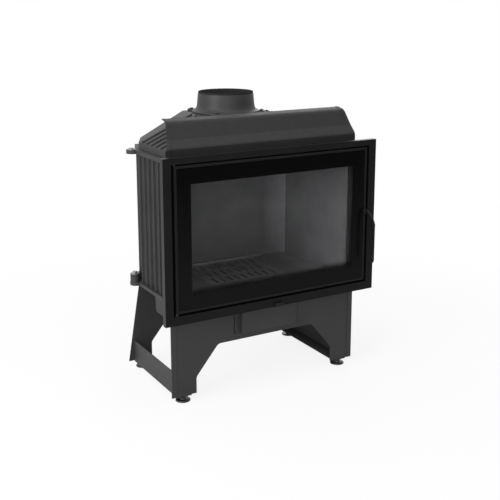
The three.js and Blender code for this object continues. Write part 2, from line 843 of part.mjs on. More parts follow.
// Angle along the side of the stand: an upright leg outside and a flange inside that carries the feet.
function leftRail() {
  const front = legPlateFront + standSheet + restGap;
  const length = rearPlateFront - restGap - front;
  const section = outline([
    [-railOffset, railBottom],
    [-railOffset + railFlange, railBottom],
    [-railOffset + railFlange, railTopOfFlange],
    [-railOffset + standSheet, railTopOfFlange],
    [-railOffset + standSheet, railBottom + railHeight],
    [-railOffset, railBottom + railHeight],
  ]);
  const angle = uprightPlate(section, front, length);
  const holes = Object.values(footPlaces).map((back) => (
    standingCylinder(
      -footAcross, back, railBottom - pastFace, studRadius + runGap, standSheet + 2 * pastFace, 24)));
  return cut(angle, ...holes);
}

// Plate under each side of the body that ties it to the front leg plate.
function leftBracket() {
  const front = legPlateFront + standSheet + restGap;
  const edge = outline([
    [front, standTop],
    [front, standTop - bracketHeight],
    [front + bracketLength - bracketCorner, standTop - bracketHeight, bracketCorner],
    [front + bracketLength, standTop],
  ].reverse());
  return sidewaysPlate(edge, -bodyHalfWidth, bracketSheet, 4);
}

add('front_leg_plate', frontLegPlate(), sheetSteel);
add('rear_leg_plate', rearLegPlate(), sheetSteel);
add('side_rail_left', leftRail(), sheetSteel);
add('side_rail_right', mirrored(leftRail()), sheetSteel);
add('side_bracket_left', leftBracket(), sheetSteel);
add('side_bracket_right', mirrored(leftBracket()), sheetSteel);

// Raised cover in the middle of the front leg plate: a hat section with a closed lower end.
function accessCover() {
  const back = legPlateFront - restGap;
  const front = back - coverDepth;
  const wide = coverHalfWidth + coverFlange;
  const half = [
    [coverHalfWidth, front],
    [coverHalfWidth, back - coverSheet],
    [wide, back - coverSheet],
    [wide, back],
    [coverHalfWidth - coverSheet, back],
    [coverHalfWidth - coverSheet, front + coverSheet],
  ];
  const top = castFrontEdge.bottom - 2 * frameSheet - sliderTabHeight / 2;
  const hat = levelPlate(outline([...half, ...mirroredEdge(half)]), coverBottom, top - coverBottom);
  return join(hat, box(-coverHalfWidth, front, coverBottom, coverHalfWidth, back, coverBottom + coverSheet));
}

add('access_cover', accessCover(), sheetSteel);

// ---------- levelling feet and their lock nuts ----------
function foot(x, y) {
  const section = [
    [0, 0],
    [footRadius - footRound, 0],
    [footRadius, footRound],
    [footRadius, footThickness - footRound],
    [footRadius - footRound, footThickness],
    [studRadius, footThickness],
    [studRadius, studHeight],
    [0, studHeight],
  ].map(([radius, height]) => new THREE.Vector2(radius, height));
  return new THREE.LatheGeometry(section, 24).rotateX(Math.PI / 2).translate(x, y, 0);
}

function lockNut(x, y) {
  const top = railBottom - restGap;
  const hexagon = new THREE.CylinderGeometry(nutAcross, nutAcross, nutHeight, 6).rotateX(Math.PI / 2);
  hexagon.translate(x, y, top - nutHeight / 2);
  const boreBottom = top - nutHeight - pastFace;
  return cut(hexagon, standingCylinder(x, y, boreBottom, studRadius + runGap, nutHeight + 2 * pastFace, 24));
}

for (const [end, back] of Object.entries(footPlaces)) {
  for (const [side, across] of [['left', -footAcross], ['right', footAcross]]) {
    add(`foot_${end}_${side}`, foot(across, back), bareSteel);
    add(`foot_nut_${end}_${side}`, lockNut(across, back), bareSteel);
  }
}

// ---------- lining, hearth and grate ----------
function rightLining() {
  const back = liningSideRear - restGap;
  return levelPlate(outline([
    [liningFrontHalfWidth, liningFront],
    [liningFrontHalfWidth + liningThickness, liningFront],
    [liningRearHalfWidth + liningThickness, back],
    [liningRearHalfWidth, back],
  ]), hearthTop + restGap, liningTop - hearthTop);
}

function rightCornerLining() {
  const run = new THREE.Vector2(liningRearHalfWidth - backLiningHalfWidth, liningSideRear - backLiningFace);
  const outward = new THREE.Vector2(-run.y, run.x).normalize().multiplyScalar(liningThickness);
  const near = [backLiningHalfWidth + restGap, backLiningFace];
  const far = [liningRearHalfWidth, liningSideRear + restGap];
  return levelPlate(outline([
    near,
    far,
    [far[0] + outward.x, far[1] + outward.y],
    [near[0] + outward.x, near[1] + outward.y],
  ]), hearthTop + restGap, liningTop - hearthTop);
}

function backLining() {
  return box(
    -backLiningHalfWidth, backLiningFace, hearthTop + restGap,
    backLiningHalfWidth, backLiningFace + liningThickness, liningTop + restGap);
}

function baffle() {
  const bottom = liningTop + 2 * restGap;
  const half = wallInside - baffleMargin;
  const rearHalf = rearWallInside - 2 * baffleMargin;
  const rear = backLiningFace + liningThickness;
  const plan = bodyPlan(half, cornerStart - baffleMargin, rearHalf, rear, baffleFront);
  return levelPlate(outline(plan), bottom, baffleThickness);
}

// Floor of the fire round the grate, with a raised ledge along its back edge.
function hearthFloor() {
  const half = wallInside - hearthMargin;
  const rearHalf = rearWallInside - 3 * hearthMargin;
  const rear = rearCore - castWall - hearthMargin;
  const plan = outline(bodyPlan(half, cornerStart, rearHalf, rear, bodyFront + hearthMargin));
  const seatHalf = grateHalfWidth + restGap;
  plan.holes.push(rectangle(-seatHalf, grateFront - restGap, seatHalf, grateBack + restGap, THREE.Path));
  const floor = levelPlate(plan, hearthBottom, hearthTop - hearthBottom);
  const ledge = box(
    -backLiningHalfWidth + ledgeDepth, backLiningFace - ledgeDepth - restGap, hearthTop - pastFace,
    backLiningHalfWidth - ledgeDepth, backLiningFace - restGap, hearthTop + ledgeHeight);
  return join(floor, ledge);
}

// Cast grate: rows of long slots that run front to back, every other row shifted by half a pitch.
function grate() {
  const plate = rectangle(-grateHalfWidth, grateFront, grateHalfWidth, grateBack);
  const rowPitch = (grateBack - grateFront) / slotRows;
  const slotPitch = 2 * (grateHalfWidth - grateSeat) / slotsInRow;
  for (let row = 0; row < slotRows; row += 1) {
    const middle = grateFront + rowPitch * (row + 0.5);
    const shifted = row % 2;
    for (let slot = 0; slot < slotsInRow - shifted; slot += 1) {
      const across = (slot - (slotsInRow - 1 - shifted) / 2) * slotPitch;
      const reach = (slotLength - slotWidth) / 2;
      const hole = new THREE.Path();
      hole.absarc(across, middle + reach, slotWidth / 2, 0, Math.PI);
      hole.absarc(across, middle - reach, slotWidth / 2, Math.PI, 2 * Math.PI);
      hole.closePath();
      plate.holes.push(hole);
    }
  }
  return levelPlate(plate, hearthBottom, hearthTop - hearthBottom, 4);
}

add('lining_right', rightLining(), refractory);
add('lining_left', mirrored(rightLining()), refractory);
add('lining_corner_right', rightCornerLining(), refractory);
add('lining_corner_left', mirrored(rightCornerLining()), refractory);
add('lining_back', backLining(), refractory);
add('baffle', baffle(), refractory);
add('hearth_floor', hearthFloor(), castIron);
add('grate', grate(), castIron);

// ---------- ash box, ash pan and air inlet under the body ----------
const ashBoxTop = bottomPlateBottom - restGap;

function openBox(half, front, bottom, back, top, wall) {
  return cut(
    box(-half, front, bottom, half, back, top),
    box(-half + wall, front + wall, bottom + wall, half - wall, back - wall, top + wall));
}

function ashBox() {
  const walls = openBox(ashBoxHalfWidth, ashBoxFront, ashBoxBottom, ashBoxBack, ashBoxTop, ashBoxSheet);
  const inletHole = standingCylinder(
    0, spigotBack, ashBoxBottom - pastFace, spigotRadius - spigotWall, ashBoxSheet + 2 * pastFace, 36);
  const sliderHole = lyingCylinder(
    sliderAcross, sliderHeight, ashBoxFront - ashBoxSheet, sliderRod + runGap, 3 * ashBoxSheet, 12);
  return cut(walls, inletHole, sliderHole);
}

// The pan stands on two runners, so that air from the inlet passes under it.
function ashPan() {
  const half = ashBoxHalfWidth - ashBoxSheet - ashPanClearance;
  const front = ashBoxFront + ashBoxSheet + sliderTravel + ashPanClearance;
  const back = ashBoxBack - ashBoxSheet - ashPanClearance;
  const bottom = ashBoxBottom + ashBoxSheet + restGap;
  const runner = (side) => {
    const outside = half - runnerSetIn;
    const edge = [side * outside, side * (outside - runnerWidth)].sort((a, b) => a - b);
    const top = bottom + runnerHeight + ashPanSheet / 2;
    return box(edge[0], front + runnerEndSetIn, bottom, edge[1], back - runnerEndSetIn, top);
  };
  const floor = bottom + runnerHeight;
  const tray = openBox(half, front, floor, back, floor + ashPanHeight, ashPanSheet);
  return join(tray, runner(1), runner(-1));
}

function airInletSpigot() {
  const top = ashBoxBottom - restGap;
  const section = [
    [spigotRadius - spigotWall, top - spigotLength],
    [spigotRadius, top - spigotLength],
    [spigotRadius, top - spigotWall],
    [spigotRadius + spigotCollar, top - spigotWall],
    [spigotRadius + spigotCollar, top],
    [spigotRadius - spigotWall, top],
    [spigotRadius - spigotWall, top - spigotLength],
  ].map(([radius, height]) => new THREE.Vector2(radius, height));
  return new THREE.LatheGeometry(section, 36).rotateX(Math.PI / 2).translate(0, spigotBack, 0);
}

add('ash_box', ashBox(), sheetSteel);
add('ash_pan', ashPan(), bareSteel);
add('air_inlet_spigot', airInletSpigot(), sheetSteel);

// ---------- air slider: tab in front of the frame, rod, and a plate just inside the ash box ----------
function airSlider() {
  const tabFront = -sliderTabThickness - sliderTabGap;
  const plateFront = ashBoxFront + ashBoxSheet + sliderTravel + sliderTabGap;
  const tab = box(
    sliderAcross - sliderTabWidth / 2, tabFront, sliderHeight - sliderTabHeight / 2,
    sliderAcross + sliderTabWidth / 2, tabFront + sliderTabThickness, sliderHeight + sliderTabHeight / 2);
  const rod = lyingCylinder(
    sliderAcross, sliderHeight, tabFront + sliderTabThickness / 2, sliderRod, plateFront - tabFront, 12);
  const plate = box(
    sliderAcross - sliderPlateHalfWidth, plateFront, sliderHeight - sliderPlateBelow,
    sliderAcross + sliderPlateHalfWidth, plateFront + sliderPlateThickness, sliderHeight + sliderPlateAbove);
  return join(tab, rod, plate);
}

add('air_slider', airSlider(), handleSteel);

// ---------- hinge pins ----------
function hingePin(low, high, headBottom, headThickness) {
  const pin = standingCylinder(hingeAcross, hingeBack, low, hingePinRadius, high - low, 16);
  const head = standingCylinder(hingeAcross, hingeBack, headBottom, hingeHeadRadius, headThickness, 16);
  return join(pin, head);
}

const upperPin = hingePin(
  doorOuter.top - hingeEngagement, frameInner.top + frameSheet + restGap + hingeHeadThickness,
  frameInner.top + frameSheet + restGap, hingeHeadThickness);
const lowerPin = hingePin(
  frameInner.bottom - 2 * frameSheet, doorOuter.bottom + hingeEngagement,
  frameInner.bottom + restGap, doorBottomGap - 2 * restGap);

add('hinge_pin_upper', upperPin, bareSteel);
add('hinge_pin_lower', lowerPin, bareSteel);

// ---------- door ----------
function doorFrame() {
  const sealFar = sealNear + sealWidth;
  const ring = mitredRing(doorOuter, [
    [0, 0],
    [doorRim, 0],
    [doorRim, glassSeat],
    [doorBorder, glassSeat],
    [doorBorder, glassSeat + doorFlange],
    [sealFar + sealWall, glassSeat + doorFlange],
    [sealFar + sealWall, doorDepth],
    [sealFar, doorDepth],
    [sealFar, sealFloor],
    [sealNear, sealFloor],
    [sealNear, doorDepth],
    [0, doorDepth],
  ]);
  const bore = (bottom) => standingCylinder(
    hingeAcross, hingeBack, bottom, hingePinRadius + runGap, hingeEngagement + 2 * pastFace, 16);
  const spindleHole = lyingCylinder(
    spindleAcross, spindleHeight, -pastFace, spindleRadius + runGap, doorDepth + 2 * pastFace, 16);
  const upperBore = bore(doorOuter.top - hingeEngagement - pastFace);
  const lowerBore = bore(doorOuter.bottom - pastFace);
  return cut(ring, upperBore, lowerBore, spindleHole);
}

function doorGlass() {
  const inset = doorRim + glassGap;
  const pane = rectangle(
    -doorOuter.half + inset, doorOuter.bottom + inset, doorOuter.half - inset, doorOuter.top - inset);
  return uprightPlate(pane, glassInset, glassThickness);
}

function glassTape() {
  const front = glassInset + glassThickness + restGap;
  const back = glassSeat - restGap;
  const section = [[tapeOuter, front], [tapeInner, front], [tapeInner, back], [tapeOuter, back]];
  return mitredRing(doorOuter, section);
}

// Rope seal with its outer corners rounded off, standing a little out of its channel.
function ropeSeal() {
  const near = sealNear + restGap;
  const far = sealNear + sealWidth - restGap;
  const floor = sealFloor + restGap;
  const back = castFrontFace - restGap;
  const round = sealWidth / 4;
  return mitredRing(doorOuter, [
    [near, floor],
    [far, floor],
    [far, back - round],
    [far - round, back],
    [near + round, back],
    [near, back - round],
  ]);
}

// Spring clip that presses the glass from behind: foot on the flange, step, and a short tongue.
function glassClip(x, side) {
  const edge = side > 0 ? doorOuter.top - doorBorder : doorOuter.bottom + doorBorder;
  const flangeBack = glassSeat + doorFlange + restGap;
  const glassBack = glassInset + glassThickness + restGap;
  const section = [
    [flangeBack, edge + side * clipFoot],
    [flangeBack + clipSheet, edge + side * clipFoot],
    [flangeBack + clipSheet, edge - side * (clipEdgeGap + clipSheet)],
    [glassBack + clipSheet, edge - side * (clipEdgeGap + clipSheet)],
    [glassBack + clipSheet, edge - side * clipTongue],
    [glassBack, edge - side * clipTongue],
    [glassBack, edge - side * clipEdgeGap],
    [flangeBack, edge - side * clipEdgeGap],
  ];
  return sidewaysPlate(outline(side > 0 ? section.reverse() : section), x - clipWidth / 2, clipWidth);
}

add('door_frame', doorFrame(), doorSteel);
add('door_glass', doorGlass(), ceramicGlass);
add('glass_tape', glassTape(), rope);
add('door_seal', ropeSeal(), rope);
const clipAcross = doorOuter.half / 2;
add('glass_clip_upper_left', glassClip(-clipAcross, 1), bareSteel);
add('glass_clip_upper_right', glassClip(clipAcross, 1), bareSteel);
add('glass_clip_lower_left', glassClip(-clipAcross, -1), bareSteel);
add('glass_clip_lower_right', glassClip(clipAcross, -1), bareSteel);

// ---------- handle, spindle and latch cam ----------
// The arm leaves the hub forwards, sweeps out and down, and ends in a straight upright grip.
function handle() {
  const gripAcross = spindleAcross + gripOutset;
  const hub = lyingCylinder(
    spindleAcross, spindleHeight, -restGap - hubThickness, hubRadius, hubThickness, 20);
  const sweep = new THREE.CatmullRomCurve3([
    new THREE.Vector3(spindleAcross, -hubThickness / 2, spindleHeight),
    new THREE.Vector3(spindleAcross, -2 * hubThickness, spindleHeight),
    new THREE.Vector3(spindleAcross + gripOutset / 2, -gripReach + armRound, spindleHeight - 2 * armRound),
    new THREE.Vector3(gripAcross, -gripReach, gripTop),
    new THREE.Vector3(gripAcross, -gripReach, gripTop - gripWidth),
    new THREE.Vector3(gripAcross, -gripReach, gripBottom),
  ], false, 'centripetal');
  const half = [gripThickness / 2, gripWidth / 2];
  const flat = [half[0] - gripChamfer, half[1] - gripChamfer];
  const section = outline([
    [-half[0], -flat[1]], [-flat[0], -half[1]], [flat[0], -half[1]], [half[0], -flat[1]],
    [half[0], flat[1]], [flat[0], half[1]], [-flat[0], half[1]], [-half[0], flat[1]],
  ]);
  const bar = new THREE.ExtrudeGeometry(section, { steps: 26, bevelEnabled: false, extrudePath: sweep });
  return join(hub, bar);
}

function latchSpindle() {
  return lyingCylinder(spindleAcross, spindleHeight, 0, spindleRadius, camFront - restGap, 16);
}

// Oblong cam that hangs from the spindle behind the latch plate.
function latchCam() {
  const plate = new THREE.Shape();
  plate.absarc(spindleAcross, spindleHeight, camWidth / 2, 0, Math.PI);
  plate.absarc(spindleAcross, spindleHeight - camLength + camWidth / 2, camWidth / 2, Math.PI, 2 * Math.PI);
  plate.closePath();
  return uprightPlate(plate, camFront, camThickness);
}

function latchKeeper() {
  const left = latchWindowRight + pastFace;
  return uprightPlate(
    rectangle(left, spindleHeight - keeperHeight / 2, left + keeperWidth, spindleHeight + keeperHeight / 2),
    keeperFront, keeperThickness);
}

add('door_handle', handle(), handleSteel);
add('latch_spindle', latchSpindle(), bareSteel);
add('latch_cam', latchCam(), bareSteel);
add('latch_keeper', latchKeeper(), bareSteel);

// ---------- origin: middle of the footprint, on the floor ----------
const footprint = new THREE.Box3().setFromObject(insert);
insert.position.y = -(footprint.min.y + footprint.max.y) / 2;

export default insert;
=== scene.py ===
import math

import bmesh
import bpy
import numpy as np
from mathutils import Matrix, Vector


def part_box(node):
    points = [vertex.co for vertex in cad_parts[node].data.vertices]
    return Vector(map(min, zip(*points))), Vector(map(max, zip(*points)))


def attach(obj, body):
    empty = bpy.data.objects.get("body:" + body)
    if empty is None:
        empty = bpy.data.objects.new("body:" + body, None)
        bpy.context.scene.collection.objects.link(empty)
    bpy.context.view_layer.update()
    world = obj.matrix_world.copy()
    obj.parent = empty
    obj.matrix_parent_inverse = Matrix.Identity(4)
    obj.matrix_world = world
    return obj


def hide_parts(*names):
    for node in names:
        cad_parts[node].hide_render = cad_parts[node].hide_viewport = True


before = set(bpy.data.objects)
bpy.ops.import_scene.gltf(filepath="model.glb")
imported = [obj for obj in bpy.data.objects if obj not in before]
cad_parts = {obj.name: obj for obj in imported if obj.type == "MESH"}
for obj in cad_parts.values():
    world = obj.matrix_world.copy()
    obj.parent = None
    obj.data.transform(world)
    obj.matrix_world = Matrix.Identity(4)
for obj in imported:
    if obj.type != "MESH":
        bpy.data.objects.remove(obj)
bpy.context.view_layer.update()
scene = bpy.context.scene
scene.view_settings.view_transform = "Standard"

# ---------- Camera ----------
# A fireplace insert seen from its left front corner, from 3 m away and a little above the flue collar.
# The lens is long and its frame is shifted down, so that upright edges stay nearly upright.
camera_turn = math.radians(30.045)
camera_dip = math.radians(12.686)
camera_data = bpy.data.cameras.new("camera")
camera_data.lens = 64.157
camera_data.shift_y = -0.10
camera = bpy.data.objects.new("camera", camera_data)
camera.location = (-1.4818, -2.6038, 1.2887)
camera.rotation_euler = (math.pi / 2 - camera_dip, 0, -camera_turn)
scene.collection.objects.link(camera)
scene.camera = camera

# ---------- Stand: leg plates, side rails and brackets ----------
# Laser-cut and folded 3 mm sheet steel in satin grey-black paint. The front and rear plates have an arch
# between the legs, angle rails join them at both sides, and a bracket under each side carries the body.


def feed(node, inputs):
    """Feeds each named input of a node from a value or a socket."""
    for key, value in inputs.items():
        if isinstance(value, bpy.types.NodeSocket):
            node.id_data.links.new(value, node.inputs[key])
        else:
            node.inputs[key].default_value = value


def wire(tree, kind, inputs=None, **settings):
    """Adds a shader node of this kind, applies its settings and feeds its inputs."""
    node = tree.nodes.new("ShaderNode" + kind)
    for key, value in settings.items():
        setattr(node, key, value)
    feed(node, inputs or {})
    return node


def calc(tree, operation, *values, **settings):
    """The result of one Math node on these values."""
    return wire(tree, "Math", dict(enumerate(values)), operation=operation, **settings).outputs[0]


def place_in(tree):
    """The shaded point in its piece's own coordinates."""
    return wire(tree, "TexCoord").outputs["Object"]


def parted(tree, vector):
    """A vector's X, Y and Z, by name."""
    return wire(tree, "SeparateXYZ", {0: vector}).outputs


def off_middle(tree, place):
    """How far the point lies to either side of the insert's middle."""
    return calc(tree, "ABSOLUTE", place["X"])


def noise(tree, place, scale, detail=3.0, roughness=0.55):
    """Noise between 0 and 1 at this many cells a metre."""
    inputs = {"Vector": place, "Scale": scale, "Detail": detail, "Roughness": roughness}
    return wire(tree, "TexNoise", inputs).outputs["Fac"]


def spread(tree, value, low, high, from_low=0.3, from_high=0.7):
    """Stretches a value from one range to another, and holds it inside the new range."""
    inputs = {"Value": value, "From Min": from_low, "From Max": from_high, "To Min": low, "To Max": high}
    return wire(tree, "MapRange", inputs).outputs["Result"]


def tinted(tree, colour, factor):
    """A colour made lighter or darker by a factor."""
    inputs = {0: colour, 1: factor}
    return wire(tree, "VectorMath", inputs, operation="MULTIPLY").outputs["Vector"]


def look_group(name, **amounts):
    """An empty group that takes a colour, a sheen and further amounts, and gives colour, roughness and
    height. What it takes and the shaded point come with it."""
    group = bpy.data.node_groups.new(name, "ShaderNodeTree")
    taken = [(key, "INPUT") for key in ("Colour", "Sheen", *amounts)]
    for key, way in taken + [(key, "OUTPUT") for key in ("Colour", "Roughness", "Height")]:
        kind = "NodeSocketColor" if key == "Colour" else "NodeSocketFloat"
        socket = group.interface.new_socket(key, in_out=way, socket_type=kind)
        if key in amounts:
            socket.default_value = amounts[key]
    return group, group.nodes.new("NodeGroupInput").outputs, place_in(group)


def gives(group, **results):
    """Joins the results to the group's outputs."""
    feed(group.nodes.new("NodeGroupOutput"), results)
    return group


def dusted(group, place, painted, amount, cells, tilt, bare, dust):
    """Paint under pale dust: the amount, times patches of noise above a bare share, times how far the face
    looks up past a tilt."""
    normal = wire(group, "NewGeometry").outputs["Normal"]
    level = spread(group, parted(group, normal)["Z"], 0.0, 1.0, tilt, 1.0)
    patches = spread(group, noise(group, place, cells, 5.0, 0.7), 0.0, 1.0, bare, 0.75)
    film = calc(group, "MULTIPLY", calc(group, "MULTIPLY", level, patches), amount)
    inputs = {"Factor": film, "A": painted, "B": (*dust, 1)}
    return wire(group, "Mix", inputs, data_type="RGBA").outputs["Result"]


def sheet_paint_group():
    """Sprayed paint on sheet: fine orange peel, faint cloudy patches and a little dust on level faces."""
    group, given, place = look_group("sprayed_sheet", Dust=0.1)
    clouds = noise(group, place, 9.0, 4.0)
    peel = noise(group, place, 620.0, 2.0)
    grit = noise(group, place, 2400.0, 1.0)
    painted = tinted(group, given["Colour"], spread(group, clouds, 0.90, 1.10))
    painted = tinted(group, painted, spread(group, grit, 0.90, 1.10))
    shown = dusted(group, place, painted, given["Dust"], cells=70.0, tilt=0.6, bare=0.4,
                   dust=(0.30, 0.29, 0.27))
    rough = calc(group, "ADD", given["Sheen"], spread(group, clouds, -0.05, 0.05))
    relief = calc(group, "MULTIPLY_ADD", peel, 0.4, grit)
    return gives(group, Colour=shown, Roughness=rough, Height=relief)


def new_material(name):
    """A material with its nodes and its main shader."""
    material = bpy.data.materials.new(name)
    material.use_nodes = True
    return material, material.node_tree, material.node_tree.nodes["Principled BSDF"]


def finish_with(group, name, colour, sheen, specular, relief, metallic=0.0, **amounts):
    """A paint or bare metal: the group gives colour, roughness and height, the shader holds the constants."""
    material, tree, shader = new_material(name)
    inputs = {"Colour": (*colour, 1), "Sheen": sheen, **amounts}
    look = wire(tree, "Group", inputs, node_tree=group).outputs
    relief_depth = 0.0004
    bump = wire(tree, "Bump", {"Height": look["Height"], "Strength": relief, "Distance": relief_depth})
    feed(shader, {"Base Color": look["Colour"], "Metallic": metallic, "Roughness": look["Roughness"],
                  "Specular IOR Level": specular, "Normal": bump.outputs["Normal"]})
    return material


def darken(material, mask_of, share):
    """Multiplies the finish's colour by 1 minus a share of the mask, and roughens it where it is darker.
    A share below zero makes it lighter."""
    tree = material.node_tree
    shader = tree.nodes["Principled BSDF"]
    mask = mask_of(tree, parted(tree, place_in(tree)))
    factor = spread(tree, mask, 1.0, 1.0 - share, 0.0, 1.0)
    plain, roughness = (shader.inputs[key].links[0].from_socket for key in ("Base Color", "Roughness"))
    feed(shader, {"Base Color": tinted(tree, plain, factor)})
    if share > 0:
        roughening = 0.45
        feed(shader, {"Roughness": calc(tree, "MULTIPLY_ADD", mask, roughening, roughness, use_clamp=True)})


def put(name, mesh, body, material, slot_name, *stands_for):
    """Puts a finished mesh in the scene on its body, with its finish, in place of the nodes it stands for."""
    piece = bpy.data.objects.new(name, mesh)
    scene.collection.objects.link(piece)
    mesh.name = name
    mesh.materials.clear()
    mesh.materials.append(material)
    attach(piece, body)
    if stands_for:
        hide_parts(*stands_for)
    return piece


def bevelled(piece, width, segments=2, degrees=28):
    """Rounds each edge of the piece that turns by more than these degrees."""
    bevel = piece.modifiers.new("rounded_edges", "BEVEL")
    bevel.width = width
    bevel.segments = segments
    bevel.limit_method = "ANGLE"
    bevel.angle_limit = math.radians(degrees)
    return bevel


def mended(mesh, merge, step):
    """Merges the mesh's points within this distance, then takes one more step, and shades it smooth."""
    shape = bmesh.new()
    shape.from_mesh(mesh)
    bmesh.ops.remove_doubles(shape, verts=shape.verts, dist=merge)
    step(shape)
    shape.to_mesh(mesh)
    shape.free()
    mesh.shade_smooth()


def eased(node, width, material, slot_name, body="root", segments=2):
    """The node's own shape with its flat faces joined up and every sharp edge rounded by this width."""
    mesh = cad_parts[node].data.copy()
    flat_within = math.radians(0.5)
    mended(mesh, 1e-5, lambda shape: bmesh.ops.dissolve_limit(
        shape, angle_limit=flat_within, verts=shape.verts, edges=shape.edges))
    piece = put(node + "_finished", mesh, body, material, slot_name, node)
    bevelled(piece, width, segments).miter_outer = "MITER_ARC"
    piece.modifiers.new("flat_faces", "WEIGHTED_NORMAL").weight = 90


cover_low, cover_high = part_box("access_cover")


def cover_edge_shadow(tree, place):
    """1 within 2 mm round the cover's outline on the front plate: a painted shadow along the cover's edge.
    The distance is the greater of the two overhangs, past the cover's half-width and below its lower edge."""
    past_side = calc(tree, "SUBTRACT", off_middle(tree, place), cover_high.x)
    past_foot = calc(tree, "SUBTRACT", cover_low.z, place["Z"])
    past = calc(tree, "MAXIMUM", past_side, past_foot)
    near = spread(tree, past, 1.0, 0.0, 0.0016, 0.0028)
    outside = spread(tree, past, 0.0, 1.0, -0.0010, -0.0002)
    return calc(tree, "MULTIPLY", near, outside)


sheet_look = sheet_paint_group()
# The bracket paint is the stand paint made darker, as painted shade.
stand_paint, front_leg_paint, shaded_bracket_paint = (
    finish_with(sheet_look, name, (grey, grey, grey + 0.001), sheen=0.48, specular=0.22, relief=0.25,
                Dust=0.05)
    for name, grey in (("stand_paint", 0.036), ("front_leg_paint", 0.036), ("shaded_bracket_paint", 0.026)))
# Painted shadow: a thin dark band on the front plate round the access cover.
darken(front_leg_paint, cover_edge_shadow, 0.75)
stand_edge = 0.0007
for part, paint in (("front_leg_plate", front_leg_paint), ("rear_leg_plate", stand_paint),
                    ("side_rail_left", stand_paint), ("side_rail_right", stand_paint),
                    ("side_bracket_left", shaded_bracket_paint), ("side_bracket_right", shaded_bracket_paint)):
    eased(part, stand_edge, paint, "sheet_steel")

# ---------- Levelling feet and lock nuts ----------
# Pressed steel pads on threaded studs that screw up and down through the rails, zinc plated and then
# blackened. A hexagon nut under each rail locks the stud.


def woven(grid, close_rows=False):
    """A grid of points made into quads. Each row closes into a loop, the rows may close too, and points that
    meet merge."""
    rows, columns = grid.shape[:2]
    index = np.arange(rows * columns).reshape(rows, columns)
    if close_rows:
        index = np.concatenate([index, index[:1]])
    index = np.concatenate([index, index[:, :1]], axis=1)
    quads = np.stack([index[:-1, :-1], index[1:, :-1], index[1:, 1:], index[:-1, 1:]], axis=-1)
    mesh = bpy.data.meshes.new("woven")
    mesh.from_pydata(grid.reshape(-1, 3).tolist(), [], quads.reshape(-1, 4).tolist())
    mended(mesh, 1e-6, lambda shape: bmesh.ops.recalc_face_normals(shape, faces=shape.faces))
    return mesh


def rounded(corners, radius, steps=4):
    """A line through corner points with each inner corner swept by a quadratic curve of this reach, held to
    45 % of the shorter side."""
    corners = np.asarray(corners, float)
    share = np.linspace(0, 1, steps + 1)[:, None]
    most = 0.45
    line = [corners[:1]]
    for before, here, after in zip(corners[:-2], corners[1:-1], corners[2:]):
        back, on = before - here, after - here
        reach = min(radius, np.linalg.norm(back) * most, np.linalg.norm(on) * most)
        start = here + back / np.linalg.norm(back) * reach
        end = here + on / np.linalg.norm(on) * reach
        line.append((1 - share) ** 2 * start + 2 * share * (1 - share) * here + share ** 2 * end)
    line.append(corners[-1:])
    return np.concatenate(line)


def full_turn(sides):
    """Even angles once round, as a row."""
    return np.linspace(0, 2 * math.pi, sides, endpoint=False)[None, :]


def about(axis, centre, radius, turn, height):
    """Cylinder coordinates round an axis square to X, as points: radius, turn in radians, height."""
    axis = np.asarray(axis, float)
    across = np.cross((1.0, 0, 0), axis)
    other = np.cross(axis, across)
    radius, turn, height = np.broadcast_arrays(radius, turn, height)
    return (np.asarray(centre, float) + (radius * np.cos(turn))[..., None] * across
            + (radius * np.sin(turn))[..., None] * other + height[..., None] * axis)


def turned(profile, centre, axis=(0, 0, 1), sides=64, close=False):
    """A profile of (radius, height) spun once round the axis."""
    profile = np.asarray(profile, float)
    return woven(about(axis, centre, profile[:, :1], full_turn(sides), profile[:, 1:]), close_rows=close)


def hexagon(across_flats, height, centre, axis=(0, 0, 1), bore=0.0, dome=0.0):
    """Bolt head or nut: the radius is the lesser of a hexagon's and a chamfer circle's at each height. The
    circle's radius is in shares of half the flats: just past them, clear of the corners, and inside them."""
    turn = full_turn(72)
    flat = across_flats / 2
    six = flat / np.cos((turn + math.pi / 6) % (math.pi / 3) - math.pi / 6)
    chamfer = across_flats * 0.06
    past, clear, inside = 1.02, 1.16, 0.98
    level = np.array([0, 0, chamfer, height - chamfer, height, height + dome])[:, None]
    limit = np.array([bore, flat * past, flat * clear, flat * clear, flat * inside, bore])[:, None]
    return woven(about(axis, centre, np.minimum(six, limit), turn, level), close_rows=bore > 0)


def threaded(radius, length, pitch, centre):
    """A stud: radius minus a triangle wave of (height over pitch minus turn), flattened at both ends."""
    rows_a_pitch, depth, end_taper, run_out = 6, 0.55 * pitch, radius * 0.12, 1.5 * pitch
    height = np.linspace(0, length, int(length / pitch * rows_a_pitch))[:, None]
    turn = full_turn(24)
    upright = (0, 0, 1)
    wave = np.abs((height / pitch - turn / (2 * math.pi)) % 1 - 0.5) * 2
    near_end = np.minimum(height, length - height) / run_out
    grid = about(upright, centre, radius - depth * wave * np.clip(near_end, 0, 1) ** 0.5
                 - end_taper * np.clip(1 - near_end, 0, 1), turn, height)
    ends = about(upright, centre, 0.0, turn, np.array([[0.0], [length]]))
    return woven(np.concatenate([ends[:1], grid, ends[1:]]))


def metal_group():
    """Plated or bare steel: fine scratches one way and cloudy tarnish."""
    group, given, place = look_group("plated_steel")
    drawn = wire(group, "Mapping", {"Vector": place, "Scale": (60.0, 60.0, 900.0)})
    scratches = noise(group, drawn.outputs["Vector"], 1.0)
    tarnish = noise(group, place, 160.0, 4.0, 0.65)
    shown = tinted(group, given["Colour"], spread(group, tarnish, 0.72, 1.12))
    rough = calc(group, "ADD", given["Sheen"], spread(group, scratches, -0.06, 0.12))
    return gives(group, Colour=shown, Roughness=rough, Height=scratches)


metal_look = metal_group()
dark_zinc = finish_with(metal_look, "blackened_zinc", (0.055, 0.055, 0.058), sheen=0.38, specular=0.5,
                        relief=0.15, metallic=0.85)


def fasten(name, mesh, body="root", *stands_for):
    """Puts a blackened fastener in the scene."""
    put(name, mesh, body, dark_zinc, "bare_steel", *stands_for)


